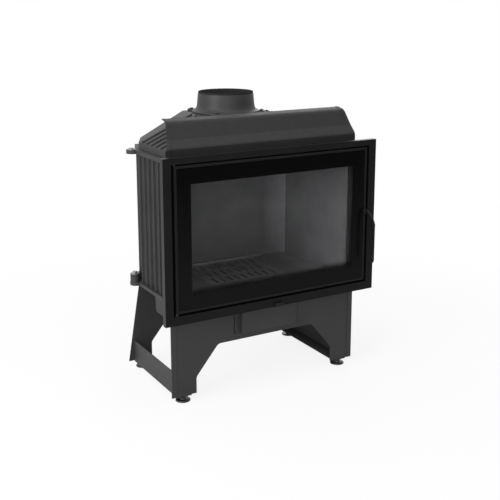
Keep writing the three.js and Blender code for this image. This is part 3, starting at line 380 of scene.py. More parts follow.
stud = 0.006
stud_pitch = 0.00175
stud_foot = 0.009
pad_dish = 0.0012
pad_lip = 0.0020
pad_skirt = 0.0052
pad_hub = 0.0098
pad_bend = 0.0012
nut_flats = 0.0173
thread_room = 0.0003

for end in ("front", "rear"):
    for side in ("left", "right"):
        low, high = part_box(f"foot_{end}_{side}")
        axis_x, axis_y = (low.x + high.x) / 2, (low.y + high.y) / 2
        pad = (high.x - low.x) / 2
        body = f"foot_{end[0]}{side[0]}"
        skirt = rounded([(0, pad_dish), (pad - 0.008, pad_dish), (pad - 0.006, 0), (pad, 0), (pad, pad_lip),
                         (pad - 0.002, pad_skirt), (stud + 0.005, pad_skirt), (stud + 0.0035, pad_hub),
                         (0, pad_hub)], pad_bend)
        fasten(f"foot_pad_{end}_{side}", turned(skirt, (axis_x, axis_y, 0)), body, f"foot_{end}_{side}")
        fasten(f"foot_stud_{end}_{side}",
               threaded(stud, high.z - stud_foot, stud_pitch, (axis_x, axis_y, stud_foot)), body)
        low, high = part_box(f"foot_nut_{end}_{side}")
        nut = hexagon(nut_flats, high.z - low.z, (axis_x, axis_y, low.z), bore=stud + thread_room)
        fasten(f"lock_nut_{end}_{side}", nut, "root", f"foot_nut_{end}_{side}")

# ---------- Ash box, ash pan, air inlet, air slider and access cover ----------
# The ash box is welded from 3 mm sheet under the grate and the pan is folded from bare sheet. The inlet
# spigot takes a 125 mm duct. The slider's tab shows under the door, and the cover hides its linkage.
inlet_paint = finish_with(sheet_look, "ash_box_paint", (0.030, 0.030, 0.031), sheen=0.52, specular=0.2,
                          relief=0.3, Dust=0.12)
pan_steel = finish_with(metal_look, "ash_pan_steel", (0.10, 0.10, 0.10), sheen=0.45, specular=0.5,
                        relief=0.2, metallic=0.8)
tab_paint = finish_with(sheet_look, "slider_paint", (0.012, 0.012, 0.012), sheen=0.42, specular=0.12,
                        relief=0.12, Dust=0.0)

eased("ash_box", 0.0008, inlet_paint, "sheet_steel")
eased("ash_pan", 0.0006, pan_steel, "bare_steel")
eased("access_cover", 0.0018, stand_paint, "sheet_steel", segments=4)
eased("air_slider", 0.0012, tab_paint, "handle_steel", body="air_control", segments=3)

low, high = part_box("air_inlet_spigot")
spigot_middle = ((low.x + high.x) / 2, (low.y + high.y) / 2, 0)
spigot_outside = 0.0625
spigot_inside = 0.0605
spigot_flange = (high.x - low.x) / 2
flange_under = high.z - 0.002
groove = low.z + 0.0125
groove_deep = 0.0009
groove_half = 0.0015
spigot_line = [
    (spigot_inside, low.z + 0.001), (spigot_inside + 0.001, low.z), (spigot_outside, low.z + 0.001),
    (spigot_outside, groove - groove_half), (spigot_outside - groove_deep, groove),
    (spigot_outside, groove + groove_half), (spigot_outside, flange_under - 0.001),
    (spigot_outside + 0.002, flange_under), (spigot_flange, flange_under), (spigot_flange, high.z),
    (spigot_inside, high.z)]
put("air_inlet_duct_end", turned(spigot_line, spigot_middle, sides=96, close=True), "root", inlet_paint,
    "sheet_steel", "air_inlet_spigot")


def pan_screw(centre, axis, radius):
    """Low domed screw head with a round key recess. Its profile is in shares of its radius."""
    line = np.array([(0, 0.18), (0.34, 0.18), (0.36, 0.52), (0.75, 0.46), (1, 0.12), (1, 0), (0, 0)])
    return turned(rounded(line * radius, radius * 0.12), centre, axis, sides=28)


cover_screw = 0.0042
screw_inset = 0.0095
cover_flange = cover_high.y - 0.002
for number, level in enumerate((cover_low.z + 0.018, cover_high.z - 0.020)):
    for side, across in (("left", cover_low.x + screw_inset), ("right", cover_high.x - screw_inset)):
        fasten(f"cover_screw_{side}_{number + 1}",
               pan_screw((across, cover_flange, level), (0, -1, 0), cover_screw))

# ---------- Cast body ----------
# Sand-cast iron plates with upright ribs, painted matt grey-black. The round ears at the rear corners are
# drilled for lifting gear, and a zinc-plated bolt and washer close each hole once the insert stands.


def cast_group():
    """Painted sand casting: sand grain, soft dents, small pits, cloudy tone and dust on level faces."""
    group, given, place = look_group("painted_casting", Dust=0.1, Grain=1.0)
    sand = noise(group, place, 900.0, 3.0, 0.6)
    dents = noise(group, place, 160.0)
    clouds = noise(group, place, 12.0, 5.0, 0.6)
    pits = wire(group, "TexVoronoi", {"Vector": place, "Scale": 420.0}).outputs["Distance"]
    pits = spread(group, pits, 0.0, 1.0, 0.02, 0.28)
    painted = tinted(group, given["Colour"], spread(group, clouds, 0.86, 1.14))
    painted = tinted(group, painted, spread(group, sand, 0.82, 1.18))
    shown = dusted(group, place, painted, given["Dust"], cells=45.0, tilt=0.5, bare=0.35,
                   dust=(0.26, 0.25, 0.24))
    rough = calc(group, "ADD", given["Sheen"], spread(group, sand, -0.08, 0.08))
    coarse = calc(group, "MULTIPLY_ADD", dents, 1.6, sand)
    coarse = calc(group, "MULTIPLY_ADD", pits, 0.5, coarse)
    height = calc(group, "MULTIPLY", coarse, given["Grain"])
    return gives(group, Colour=shown, Roughness=rough, Height=height)


cast_look = cast_group()
body_iron = finish_with(cast_look, "body_casting", (0.034, 0.034, 0.035), sheen=0.55, specular=0.25,
                        relief=0.35, Dust=0.10)
cast_edge = 0.0014

for part in ("bottom_plate", "side_wall_left", "side_wall_right", "rear_corner_left", "rear_corner_right",
             "rear_wall", "top_plate"):
    eased(part, cast_edge, body_iron, "cast_iron")

bright_zinc = finish_with(metal_look, "bright_zinc", (0.36, 0.36, 0.36), sheen=0.46, specular=0.5,
                          relief=0.2, metallic=0.9)
ear_across = 0.347
ear_back = 0.1547
washer_radius = 0.0152
washer_thick = 0.002
head_flats = 0.017
washer_line = rounded(
    [(0, 0), (washer_radius, 0), (washer_radius, washer_thick), (0, washer_thick)], 0.0006)
for place_name, node, head_height in (("boss", "bottom_plate", 0.0055), ("ear", "top_plate", 0.0035)):
    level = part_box(node)[1].z
    for side, across in (("left", -ear_across), ("right", ear_across)):
        put(f"{place_name}_washer_{side}", turned(washer_line, (across, ear_back, level), sides=48), "root",
            bright_zinc, "bare_steel")
        head = hexagon(head_flats, head_height, (across, ear_back, level + washer_thick), dome=0.0006)
        put(f"{place_name}_bolt_{side}", head, "root", bright_zinc, "bare_steel")

# ---------- Fire chamber: boards, baffle, hearth and grate ----------
# Pressed heat-resistant boards stand round the fire and a thicker board lies over it. The hearth and the
# loose grate are cast iron.


def board_group():
    """Pressed mineral board: pale and dark flakes, soft clouds, and a slightly torn surface."""
    group, given, place = look_group("pressed_board")
    flakes = wire(group, "TexVoronoi", {"Vector": place, "Scale": 260.0}).outputs["Color"]
    tone = wire(group, "SeparateColor", {"Color": flakes}).outputs["Red"]
    clouds = noise(group, place, 14.0, 4.0)
    torn = noise(group, place, 320.0, 4.0, 0.7)
    shown = tinted(group, given["Colour"], spread(group, tone, 0.88, 1.13, 0.0, 1.0))
    shown = tinted(group, shown, spread(group, clouds, 0.90, 1.10))
    relief = calc(group, "MULTIPLY_ADD", tone, 0.5, torn)
    return gives(group, Colour=shown, Roughness=spread(group, torn, 0.82, 0.98), Height=relief)


board_look = board_group()
# The side board finish is the fire board made lighter, as painted light.
fire_board, corner_board, lit_side_board = (
    finish_with(board_look, name, (grey, grey, grey + 0.001), sheen=0.9, specular=0.1, relief=0.4)
    for name, grey in (("fire_board", 0.115), ("corner_board", 0.122), ("lit_side_board", 0.127)))
hearth_iron = finish_with(cast_look, "hearth_casting", (0.115, 0.115, 0.114), sheen=0.6, specular=0.2,
                          relief=0.35, Dust=0.10)
grate_iron = finish_with(cast_look, "grate_casting", (0.115, 0.115, 0.114), sheen=0.5, specular=0.3,
                         relief=0.35, Grain=0.8)
side_low, side_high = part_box("lining_right")
corner_low, corner_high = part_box("lining_corner_right")
grate_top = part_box("grate")[1].z


def sooty_foot(tree, place):
    """1 at the boards' lower edge, fading out about 19 cm above the hearth, where ash and soot cling."""
    return spread(tree, place["Z"], 1.0, 0.0, 0.36, 0.53)


def toward_back(tree, place):
    """0 at the side boards' front edge and 1 at their back edge. It makes the side boards lighter towards the
    back as painted light, and weights their sooty foot.
    """
    return spread(tree, place["Y"], 0.0, 1.0, side_low.y, side_high.y)


def sooty_back_foot(tree, place):
    """The sooty foot, weaker towards the boards' front edge."""
    return calc(tree, "MULTIPLY", sooty_foot(tree, place), toward_back(tree, place))


def lit_toward_side(tree, place):
    """0 beside the back board and 1 beside the side board: painted light that makes the corner boards lighter
    towards the side boards.
    """
    return spread(tree, off_middle(tree, place), 0.0, 1.0, corner_low.x + 0.004, corner_high.x - 0.010)


def board_joint(tree, place):
    """1 in the last few millimetres before the side board, where the joint stays sooty."""
    return spread(tree, off_middle(tree, place), 0.0, 1.0, corner_high.x - 0.0075, corner_high.x - 0.0050)


def hearth_margin(tree, place):
    """1 on the hearth beside the side boards, which is made lighter there."""
    return spread(tree, off_middle(tree, place), 0.0, 1.0, 0.20, 0.255)


def shade_between_bars(tree, place):
    """1 below the top of the grate's bars and 0 on their tops: painted shade on the bars' sides and between
    them.
    """
    return spread(tree, place["Z"], 1.0, 0.0, grate_top - 0.0016, grate_top - 0.0008)


def bent_board(side, low, high):
    """A board bent in plan: its face leaves the back wall level with it and comes forward by the square of
    the distance along it, its back is offset by the thickness along the normal, and its height is even."""
    board = 0.014
    behind_face, beside_face = 0.0135, 0.0038
    share = np.linspace(0, 1, 33)
    near, far = np.array([low.x, high.y - behind_face]), np.array([high.x - beside_face, low.y])
    face = near + (far - near) * np.stack([share, share ** 2], axis=-1)
    way = np.gradient(face, axis=0)
    way /= np.linalg.norm(way, axis=1, keepdims=True)
    back = face + np.stack([-way[:, 1], way[:, 0]], axis=-1) * board
    columns = [np.column_stack([line * (side, 1), np.full(len(share), level)])
               for line, level in ((face, low.z), (face, high.z), (back, high.z), (back, low.z))]
    grid = np.stack(columns, axis=1)
    ends = grid[[0, -1]]
    ends[:, :, :2] = ends[:, :, :2].mean(axis=1, keepdims=True)
    return woven(np.concatenate([ends[:1], grid, ends[1:]]))


# Painted light and shade among these: side boards lighter towards the back, corner boards lighter towards the
# side boards, and shade on the grate between its bars.
for finish, mask_of, share in (
        (fire_board, sooty_foot, 0.32), (corner_board, sooty_foot, 0.32), (lit_side_board, toward_back, -0.85),
        (lit_side_board, sooty_back_foot, 0.36), (corner_board, lit_toward_side, -0.8),
        (corner_board, board_joint, 0.6), (hearth_iron, hearth_margin, -0.4),
        (grate_iron, shade_between_bars, 0.88)):
    darken(finish, mask_of, share)

board_edge = 0.0009
iron_edge = 0.0016
eased("lining_back", board_edge, fire_board, "refractory")
for part in ("lining_left", "lining_right"):
    eased(part, board_edge, lit_side_board, "refractory")
for side_name, side in (("left", -1), ("right", 1)):
    corner = put(f"corner_board_{side_name}", bent_board(side, corner_low, corner_high), "root",
                 corner_board, "refractory", f"lining_corner_{side_name}")
    bevelled(corner, board_edge, degrees=40)
eased("baffle", iron_edge, fire_board, "refractory")
eased("hearth_floor", iron_edge, hearth_iron, "cast_iron", segments=3)
eased("grate", iron_edge, grate_iron, "cast_iron", body="lift_out_grate", segments=3)

# ---------- Hood and flue collar ----------
# One-piece cast hood with shallow ribs down its slopes. The collar is a turned casting for a 200 mm pipe,
# bolted down by four lugs.
eased("hood", cast_edge, body_iron, "cast_iron")

collar_iron = finish_with(cast_look, "collar_casting", (0.034, 0.034, 0.035), sheen=0.46, specular=0.22,
                          relief=0.20, Dust=0.02, Grain=0.6)
low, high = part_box("flue_collar")
flue_radius = 0.100
flue_rim = 0.0966
flue_lip = flue_rim - 0.0012
flue_inside = 0.095
flue_flare = 0.007
flue_flange = 0.118
flue_back = (low.y + high.y) / 2
flue_top = high.z
lug_root = 0.108
lug_reach = 0.126
lug_width = 0.014
lug_plate = 0.008
base = low.z
flange_top = base + lug_plate
flange_line = rounded([
    (flue_inside, flue_top), (flue_lip, flue_top), (flue_lip, flue_top - 0.0055),
    (flue_rim, flue_top - 0.0062), (flue_radius, flange_top + 3 * flue_flare),
    (flue_radius + 0.0012, flange_top + 2 * flue_flare),
    (flue_radius + flue_flare * 0.55, flange_top + flue_flare),
    (flue_radius + flue_flare * 1.4, flange_top + 0.002), (flue_flange, flange_top - 0.001),
    (flue_flange, base), (flue_inside, base), (flue_inside, flue_top)], 0.0030)


def shaded_inside_collar(tree, place):
    """1 nearer to the flue's axis than the spigot's wall, 0 outside it, from the distance in plan: painted
    shade inside the collar.
    """
    back = calc(tree, "SUBTRACT", place["Y"], flue_back)
    plan = wire(tree, "CombineXYZ", {"X": place["X"], "Y": back}).outputs[0]
    distance = wire(tree, "VectorMath", {0: plan}, operation="LENGTH").outputs["Value"]
    return spread(tree, distance, 1.0, 0.0, flue_inside + 0.0004, flue_inside + 0.0012)


def rim_highlight(tree, place):
    """1 on the top 3 mm of the spigot: a painted highlight along its rim."""
    return spread(tree, place["Z"], 0.0, 1.0, flue_top - 0.0034, flue_top - 0.0026)


# Painted shade inside the collar.
darken(collar_iron, shaded_inside_collar, 0.65)
# Painted highlight along the collar's rim.
darken(collar_iron, rim_highlight, -0.7)
put("flue_collar_ring", turned(flange_line[:-1], (0, flue_back, 0), sides=144, close=True), "root",
    collar_iron, "cast_iron", "flue_collar")


def lug(angle):
    """Flat tongue with a round end: half-width is held to the lug, then follows a circle to its tip. Its
    lowest and highest outlines are drawn in by the edge's width."""
    edge, length = 0.0012, 0.04
    share = np.linspace(-1, 1, 33)
    along = np.concatenate([[lug_root], lug_reach + lug_width * np.cos(share * math.pi / 2), [lug_root]])
    across = np.concatenate([[-lug_width], lug_width * np.sin(share * math.pi / 2), [lug_width]])
    draw_in = np.array([1.0, 0.0, 0.0, 1.0])[:, None] * edge
    level = np.array([base, base + edge, flange_top - edge, flange_top])
    out = lug_root + (along - lug_root)[None, :] * (1 - draw_in / length)
    wide = across[None, :] * (1 - draw_in / lug_width)
    ring = np.stack([out * math.cos(angle) - wide * math.sin(angle),
                     flue_back + out * math.sin(angle) + wide * math.cos(angle),
                     np.broadcast_to(level[:, None], out.shape)], axis=-1)
    middle = ring.mean(axis=1, keepdims=True).repeat(ring.shape[1], axis=1)
    return woven(np.concatenate([middle[:1], ring, middle[-1:]]))


lug_head_flats, lug_head_height = 0.013, 0.0032
for number, degrees in enumerate((45, 135, 225, 315)):
    angle = math.radians(degrees)
    put(f"flue_lug_{number + 1}", lug(angle), "root", collar_iron, "cast_iron")
    spot = (lug_reach * math.cos(angle), flue_back + lug_reach * math.sin(angle), flange_top)
    put(f"lug_bolt_{number + 1}", hexagon(lug_head_flats, lug_head_height, spot, dome=0.0008), "root",
        body_iron, "cast_iron")

# ---------- Deflector over the front ----------
# One 2.5 mm sheet folded on a press brake into a foot, an upright panel, two slopes and a lip. Its ends are
# hemmed and lean in above the first bend, and its foot is bolted to the top plate.
low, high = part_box("deflector_shroud")
# The deflector paint is the sheet paint made darker, as painted shade.
shaded_deflector_paint = finish_with(sheet_look, "shaded_deflector_paint", (0.0235, 0.0235, 0.024), sheen=0.56,
                              specular=0.14, relief=0.2, Dust=0.03)
deflector_sheet = 0.0025
deflector_hem = 0.012
hem_proud = 0.0011
bend_reach = 0.013
upright_top = low.z + 0.0437
slope_foot = low.z + 0.0697
deflector_lean = 0.019
deflector_fold = np.array([
    (low.y + 0.026, low.z), (low.y, low.z), (low.y, upright_top), (low.y + 0.019, slope_foot),
    (low.y + 0.045, low.z + 0.1217), (high.y, high.z)])


def folded_sheet():
    """The fold line is rounded at its bends, offset by the sheet along its normal, and carried between two
    ends whose half-width shrinks in proportion to the height above the first bend."""
    line = rounded(deflector_fold[:, ::-1] * (1, -1), bend_reach, steps=6)[:, ::-1] * (-1, 1)
    way = np.gradient(line, axis=0)
    way /= np.linalg.norm(way, axis=1, keepdims=True)
    inward = np.stack([way[:, 1], -way[:, 0]], axis=-1)
    half = high.x - deflector_lean * np.clip((line[:, 1] - upright_top) / (high.z - upright_top), 0, 1)
    ramp = deflector_hem + hem_proud
    outer = [(-1, 0, hem_proud), (-1, 0, 0), (-1, deflector_hem, 0), (-1, ramp, hem_proud),
             (1, ramp, hem_proud), (1, deflector_hem, 0), (1, 0, 0), (1, 0, hem_proud)]
    inner = [(1, 0, deflector_sheet), (-1, 0, deflector_sheet)]
    columns = []
    for side, set_in, depth in outer + inner:
        place = line + inward * depth
        columns.append(np.stack([side * (half - set_in), place[:, 0], place[:, 1]], axis=-1))
    grid = np.stack(columns, axis=1)
    ends = grid[[0, -1]]
    middle = ends.copy()
    middle[:, :, 1:] = ends[:, :, 1:].mean(axis=1, keepdims=True)
    return woven(np.concatenate([middle[:1], grid, middle[1:]]))


def shaded_low_panel(tree, place):
    """1 on the upright panel below the first bend: painted shade there."""
    return spread(tree, place["Z"], 1.0, 0.0, upright_top - 0.005, upright_top - 0.001)


def lit_fold(tree, place):
    """1 on the narrow slope between the two lower bends: a painted highlight that makes it lighter."""
    over = spread(tree, place["Z"], 0.0, 1.0, upright_top - 0.001, upright_top + 0.003)
    under = spread(tree, place["Z"], 1.0, 0.0, slope_foot - 0.0012, slope_foot + 0.0003)
    return calc(tree, "MULTIPLY", over, under)


# Painted shade on the upright panel below the first bend.
darken(shaded_deflector_paint, shaded_low_panel, 0.45)
# Painted highlight on the narrow slope above it.
darken(shaded_deflector_paint, lit_fold, -0.35)
deflector = put("deflector_folded", folded_sheet(), "root", shaded_deflector_paint, "sheet_steel",
                "deflector_shroud")
bevelled(deflector, 0.0005)
foot_bolt_inset, foot_bolt_back = 0.06, 0.015
foot_head_flats, foot_head_height = 0.010, 0.0045
for number, across in enumerate(np.linspace(low.x + foot_bolt_inset, high.x - foot_bolt_inset, 4)):
    spot = (across, low.y + foot_bolt_back, low.z + deflector_sheet)
    fasten(f"deflector_bolt_{number + 1}", hexagon(foot_head_flats, foot_head_height, spot, dome=0.0004))

# ---------- Cast front, latch plate and front frame ----------
# The cast front closes the body round the door opening, with a notched strip beside it for the latch.
# The frame is a folded steel channel with mitred and ground corners, in satin black.
front_iron = finish_with(cast_look, "front_casting", (0.022, 0.022, 0.022), sheen=0.55, specular=0.2,
                         relief=0.3, Dust=0.05)
frame_paint = finish_with(sheet_look, "frame_paint", (0.0066, 0.0066, 0.0068), sheen=0.40, specular=0.09,
                          relief=0.16, Dust=0.0)
frame_low, frame_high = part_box("front_frame")


def gap_shade(tree, place):
    """1 on what lies behind the face and within 15 mm of the door: painted shade that keeps the gap round the
    door dark.
    """
    behind = spread(tree, place["Y"], 0.0, 1.0, frame_low.y + 0.0015, frame_low.y + 0.006)
    near = spread(tree, off_middle(tree, place), 1.0, 0.0, frame_high.x - 0.016, frame_high.x - 0.014)
    above = spread(tree, place["Z"], 0.0, 1.0, frame_low.z + 0.013, frame_low.z + 0.015)
    below = spread(tree, place["Z"], 1.0, 0.0, frame_high.z - 0.011, frame_high.z - 0.009)
    for other in (near, above, below):
        behind = calc(tree, "MULTIPLY", behind, other)
    return behind


def lit_outer_sides(tree, place):
    """1 on the frame's outer sides: painted light that makes them lighter."""
    return spread(tree, off_middle(tree, place), 0.0, 1.0, frame_high.x - 0.0009, frame_high.x - 0.0004)


# Painted shade in the gap round the door.
darken(frame_paint, gap_shade, 0.8)
# Painted light on the frame's outer sides.
darken(frame_paint, lit_outer_sides, -4.2)
eased("cast_front", cast_edge, front_iron, "cast_iron")
eased("latch_plate", cast_edge, front_iron, "cast_iron")
eased("front_frame", 0.0010, frame_paint, "door_steel", segments=3)

# ---------- Door: frame, glass with its printed edge, tape, clips, rope seal and hinge pins ----------
# A welded door frame holds a 4 mm ceramic pane with a black enamel edge fired on it. The pane rests on a
# flat tape and is pressed by four spring clips. A braided rope in the back channel seals the fire.
door_paint = finish_with(sheet_look, "door_paint", (0.0075, 0.0075, 0.0077), sheen=0.36, specular=0.11,
                         relief=0.14, Dust=0.0)
eased("door_frame", 0.0008, door_paint, "door_steel", body="door", segments=3)


def pane_material():
    """Clear heat-proof glass with a faint smoky tint; light from the lamps passes straight through it."""
    smoky = (0.84, 0.84, 0.85, 1)
    material, tree, shader = new_material("ceramic_pane")
    place = place_in(tree)
    haze = spread(tree, noise(tree, place, 30.0), 0.0, 0.010)
    waves = noise(tree, place, 6.0, 1.0)
    ripple = wire(tree, "Bump", {"Height": waves, "Strength": 0.05, "Distance": 0.0005})
    feed(shader, {"Base Color": smoky, "Transmission Weight": 1.0, "IOR": 1.11, "Roughness": haze,
                  "Normal": ripple.outputs["Normal"]})
    clear = wire(tree, "BsdfTransparent", {"Color": smoky})
    shadow = wire(tree, "LightPath").outputs["Is Shadow Ray"]
    both = wire(tree, "MixShader", {0: shadow, 1: shader.outputs["BSDF"], 2: clear.outputs["BSDF"]})
    feed(tree.nodes["Material Output"], {"Surface": both.outputs["Shader"]})
    return material


low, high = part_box("door_glass")
window_half = 0.306
window_bottom = 0.381
window_top = 0.739
fade_reach = 0.032


def print_material(fade_low, fade_high):
    """Fired black enamel, dense up to one height and thinned out to nothing at another in the window.
    A film of fine ash makes it paler towards the bottom edge."""
    enamel_black = (0.0020, 0.0020, 0.0021)
    film_margin = 0.03
    material, tree, shader = new_material("pane_print")
    point = place_in(tree)
    place = parted(tree, point)
    speck = noise(tree, point, 700.0, 2.0)
    tone = tinted(tree, enamel_black, spread(tree, speck, 0.8, 1.2))
    film = spread(tree, place["Z"], 2.8, 0.5, low.z + film_margin, high.z - film_margin)
    inputs = {"Value": place["Z"], "From Min": fade_low, "From Max": fade_high, "To Min": 1.0, "To Max": 0.0}
    fade = wire(tree, "MapRange", inputs, interpolation_type="SMOOTHSTEP").outputs["Result"]
    beside = calc(tree, "GREATER_THAN", off_middle(tree, place), window_half)
    above = calc(tree, "GREATER_THAN", place["Z"], window_top - 0.0005)
    alpha = calc(tree, "MAXIMUM", calc(tree, "MAXIMUM", beside, above), fade)
    feed(shader, {"Base Color": tinted(tree, tone, film), "Roughness": spread(tree, speck, 0.10, 0.18),
                  "Specular IOR Level": 0.05, "Alpha": alpha})
    return material


def ring_band(outer, inner, depth, thickness):
    """A flat frame between two rectangles (left, bottom, right, top) at one depth, with a thickness."""
    def corners(box, y):
        left, bottom, right, top = box
        return np.array([[left, y, bottom], [right, y, bottom], [right, y, top], [left, y, top]])
    loops = [corners(outer, depth), corners(inner, depth), corners(inner, depth + thickness),
             corners(outer, depth + thickness)]
    mesh = woven(np.array(loops), close_rows=True)
    mesh.shade_flat()
    return mesh


eased("door_glass", 0.0006, pane_material(), "glass", body="door")
edge_gap = 0.0004
print_depth = low.y - 0.00015
print_thick = 0.0001
enamel = ring_band(
    (low.x + edge_gap, low.z + edge_gap, high.x - edge_gap, high.z - edge_gap),
    (-window_half, window_bottom + fade_reach, window_half, window_top), print_depth, print_thick)
put("pane_print", enamel, "door", print_material(window_bottom - 0.002, window_bottom + fade_reach), "glass")


def braid_group():
    """Knitted glass yarn: two sets of slanted ribs crossing, and loose fibres."""
    group, given, place = look_group("braided_yarn")
    fibres = noise(group, place, 1500.0, 3.0, 0.7)
    waves = []
    for slant in (0.8, -0.8):
        leaning = wire(group, "Mapping", {"Vector": place, "Rotation": (slant, slant, slant)})
        inputs = {"Vector": leaning.outputs["Vector"], "Scale": 180.0, "Distortion": 0.6}
        waves.append(wire(group, "TexWave", inputs).outputs["Fac"])
    weave = calc(group, "MAXIMUM", *waves)
    shown = tinted(group, given["Colour"], spread(group, weave, 0.65, 1.15, 0.0, 1.0))
    shown = tinted(group, shown, spread(group, fibres, 0.85, 1.15))
    relief = calc(group, "ADD", weave, fibres)
    return gives(group, Colour=shown, Roughness=spread(group, fibres, 0.85, 1.0), Height=relief)


braid_look = braid_group()
rope_yarn = finish_with(braid_look, "rope_yarn", (0.050, 0.049, 0.047), sheen=0.9, specular=0.1, relief=0.8)
tape_yarn = finish_with(braid_look, "tape_yarn", (0.030, 0.030, 0.029), sheen=0.9, specular=0.1, relief=0.5)
eased("glass_tape", 0.0005, tape_yarn, "seal_rope", body="door")


def rope_round_door(low, high):
    """Oval rope carried round the door: a rounded rectangle path, with the oval's size rippled by a
    crossing braid of eight strands."""
    half_wide = 0.0066
    half_deep = (high.y - low.y) / 2
    corner_radius = 0.014
    points_a_corner = 12
    pitch = 0.011
    rings_a_pitch = 5
    strands_a_way = 4
    ripple_share = 0.07
    left, right = low.x + half_wide, high.x - half_wide
    bottom, top = low.z + half_wide, high.z - half_wide
    path, outward = [], []
    for cx, cz, start in ((right, top, 0), (left, top, 90), (left, bottom, 180), (right, bottom, 270)):
        angle = np.radians(np.linspace(start, start + 90, points_a_corner))
        centre = np.array([cx - math.copysign(corner_radius, cx), 0,
                           cz - math.copysign(corner_radius, cz - (top + bottom) / 2)])
        way = np.stack([np.cos(angle), np.zeros_like(angle), np.sin(angle)], axis=-1)
        path.append(centre + corner_radius * way)
        outward.append(way)
    path = np.concatenate(path + [path[0][:1]])
    outward = np.concatenate(outward + [outward[0][:1]])
    length = np.concatenate([[0], np.cumsum(np.linalg.norm(np.diff(path, axis=0), axis=1))])
    turns = round(length[-1] / pitch)
    at = np.linspace(0, length[-1], turns * rings_a_pitch, endpoint=False)
    spine, way = (np.stack([np.interp(at, length, line[:, axis]) for axis in range(3)], axis=-1)
                  for line in (path, outward))
    way /= np.linalg.norm(way, axis=1, keepdims=True)
    turn = full_turn(20)
    phase = (2 * math.pi * turns / length[-1] * at)[:, None]
    ripple = np.maximum(np.sin(strands_a_way * turn + phase), np.sin(strands_a_way * turn - phase))
    scale = 1 - ripple_share + ripple_share * ripple
    middle = np.array([0, (low.y + high.y) / 2, 0])
    grid = (spine[:, None, :] + middle + (half_wide * scale * np.cos(turn))[..., None] * way[:, None, :]
            + (half_deep * scale * np.sin(turn))[..., None] * np.array([0, 1.0, 0]))
    return woven(grid, close_rows=True)


put("rope_seal", rope_round_door(*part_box("door_seal")), "door", rope_yarn, "seal_rope", "door_seal")

spring_steel = finish_with(metal_look, "spring_clip_steel", (0.34, 0.34, 0.33), sheen=0.34, specular=0.5,
                           relief=0.15, metallic=1.0)
clip_screw = 0.0038
clip_foot = 0.0055
for level in ("upper", "lower"):
    for side in ("left", "right"):
        node = f"glass_clip_{level}_{side}"
        eased(node, 0.0003, spring_steel, "bare_steel", body="door")
        low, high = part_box(node)
        spot = ((low.x + high.x) / 2, high.y, high.z - clip_foot if level == "upper" else low.z + clip_foot)
        fasten(f"clip_screw_{level}_{side}", pan_screw(spot, (0, 1, 0), clip_screw), "door")

for node in ("hinge_pin_upper", "hinge_pin_lower"):
    eased(node, 0.0004, dark_zinc, "bare_steel")

# ---------- Handle, spindle, latch cam and keeper ----------
# A flat bar forged into a curve leaves the hub, turns down and hangs as a straight grip. The spindle runs
# through the door to an oblong cam behind the latch plate, which passes behind a screwed keeper.
handle_paint = finish_with(sheet_look, "handle_paint", (0.0070, 0.0070, 0.0072), sheen=0.36, specular=0.14,
                           relief=0.08, Dust=0.0)
spindle_low, spindle_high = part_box("latch_spindle")
spindle_x = (spindle_low.x + spindle_high.x) / 2
spindle_z = (spindle_low.z + spindle_high.z) / 2
grip_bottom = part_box("door_handle")[0].z
door_face = spindle_low.y
grip_x = spindle_x + 0.00875
grip_y = door_face - 0.042
grip_top = 0.536


def handle_bar():
    """Rounded bar section carried along a smooth line through the hub, the bend and the grip: a cubic
    between each two knots, that passes a knot at half the step from the knot before to the knot after. The
    section is a circle of the fourth power whose side stays level, and its end closes in a dome."""
    half_across, half_deep = 0.008 / 2, 0.0096 / 2
    dome_reach = 0.004
    power = 4.0
    knots = np.array([
        (spindle_x, door_face - 0.0045, spindle_z), (spindle_x, door_face - 0.018, spindle_z),
        (spindle_x + 0.004375, door_face - 0.034, spindle_z - 0.016), (grip_x, grip_y, grip_top),
        (grip_x, grip_y, grip_top - 0.010), (grip_x, grip_y, grip_top - 0.040),
        (grip_x, grip_y, grip_bottom)])
    run_on = np.concatenate([[2 * knots[0] - knots[1]], knots, [2 * knots[-1] - knots[-2]]])
    share = np.linspace(0, 1, 12, endpoint=False)[:, None]
    runs = []
    for a, b, c, d in zip(run_on[:-3], run_on[1:-2], run_on[2:-1], run_on[3:]):
        runs.append(0.5 * (2 * b + (c - a) * share + (2 * a - 5 * b + 4 * c - d) * share ** 2
                           + (3 * b - a - 3 * c + d) * share ** 3))
    line = np.concatenate(runs + [knots[-1:]])
    way = np.gradient(line, axis=0)
    way /= np.linalg.norm(way, axis=1, keepdims=True)
    side = np.array([1.0, 0, 0]) - way * way[:, :1]
    side /= np.linalg.norm(side, axis=1, keepdims=True)
    over = np.cross(way, side)
    turn = full_turn(32)
    flat = (np.abs(np.cos(turn)) ** power + np.abs(np.sin(turn)) ** power) ** (-1 / power)
    from_end = np.linalg.norm(line - line[-1], axis=1)
    tip = np.sqrt(np.clip(1 - np.clip(1 - from_end / dome_reach, 0, 1) ** 2, 0, 1))[:, None]
    grid = (line[:, None, :]
            + (half_across * tip * flat * np.cos(turn))[..., None] * side[:, None, :]
            + (half_deep * tip * flat * np.sin(turn))[..., None] * over[:, None, :])
    start = np.broadcast_to(line[0], grid[:1].shape)
    return woven(np.concatenate([start, grid]))


put("handle_bar", handle_bar(), "handle", handle_paint, "handle_steel", "door_handle")
hub_radius = 0.009
hub_line = rounded([(0, 0.0002), (hub_radius, 0.0002), (hub_radius, 0.0062), (0.0075, 0.0092), (0, 0.0092)],
                   0.0012)
put("handle_hub", turned(hub_line, (spindle_x, door_face, spindle_z), (0, -1, 0), sides=48), "handle",
    handle_paint, "handle_steel")

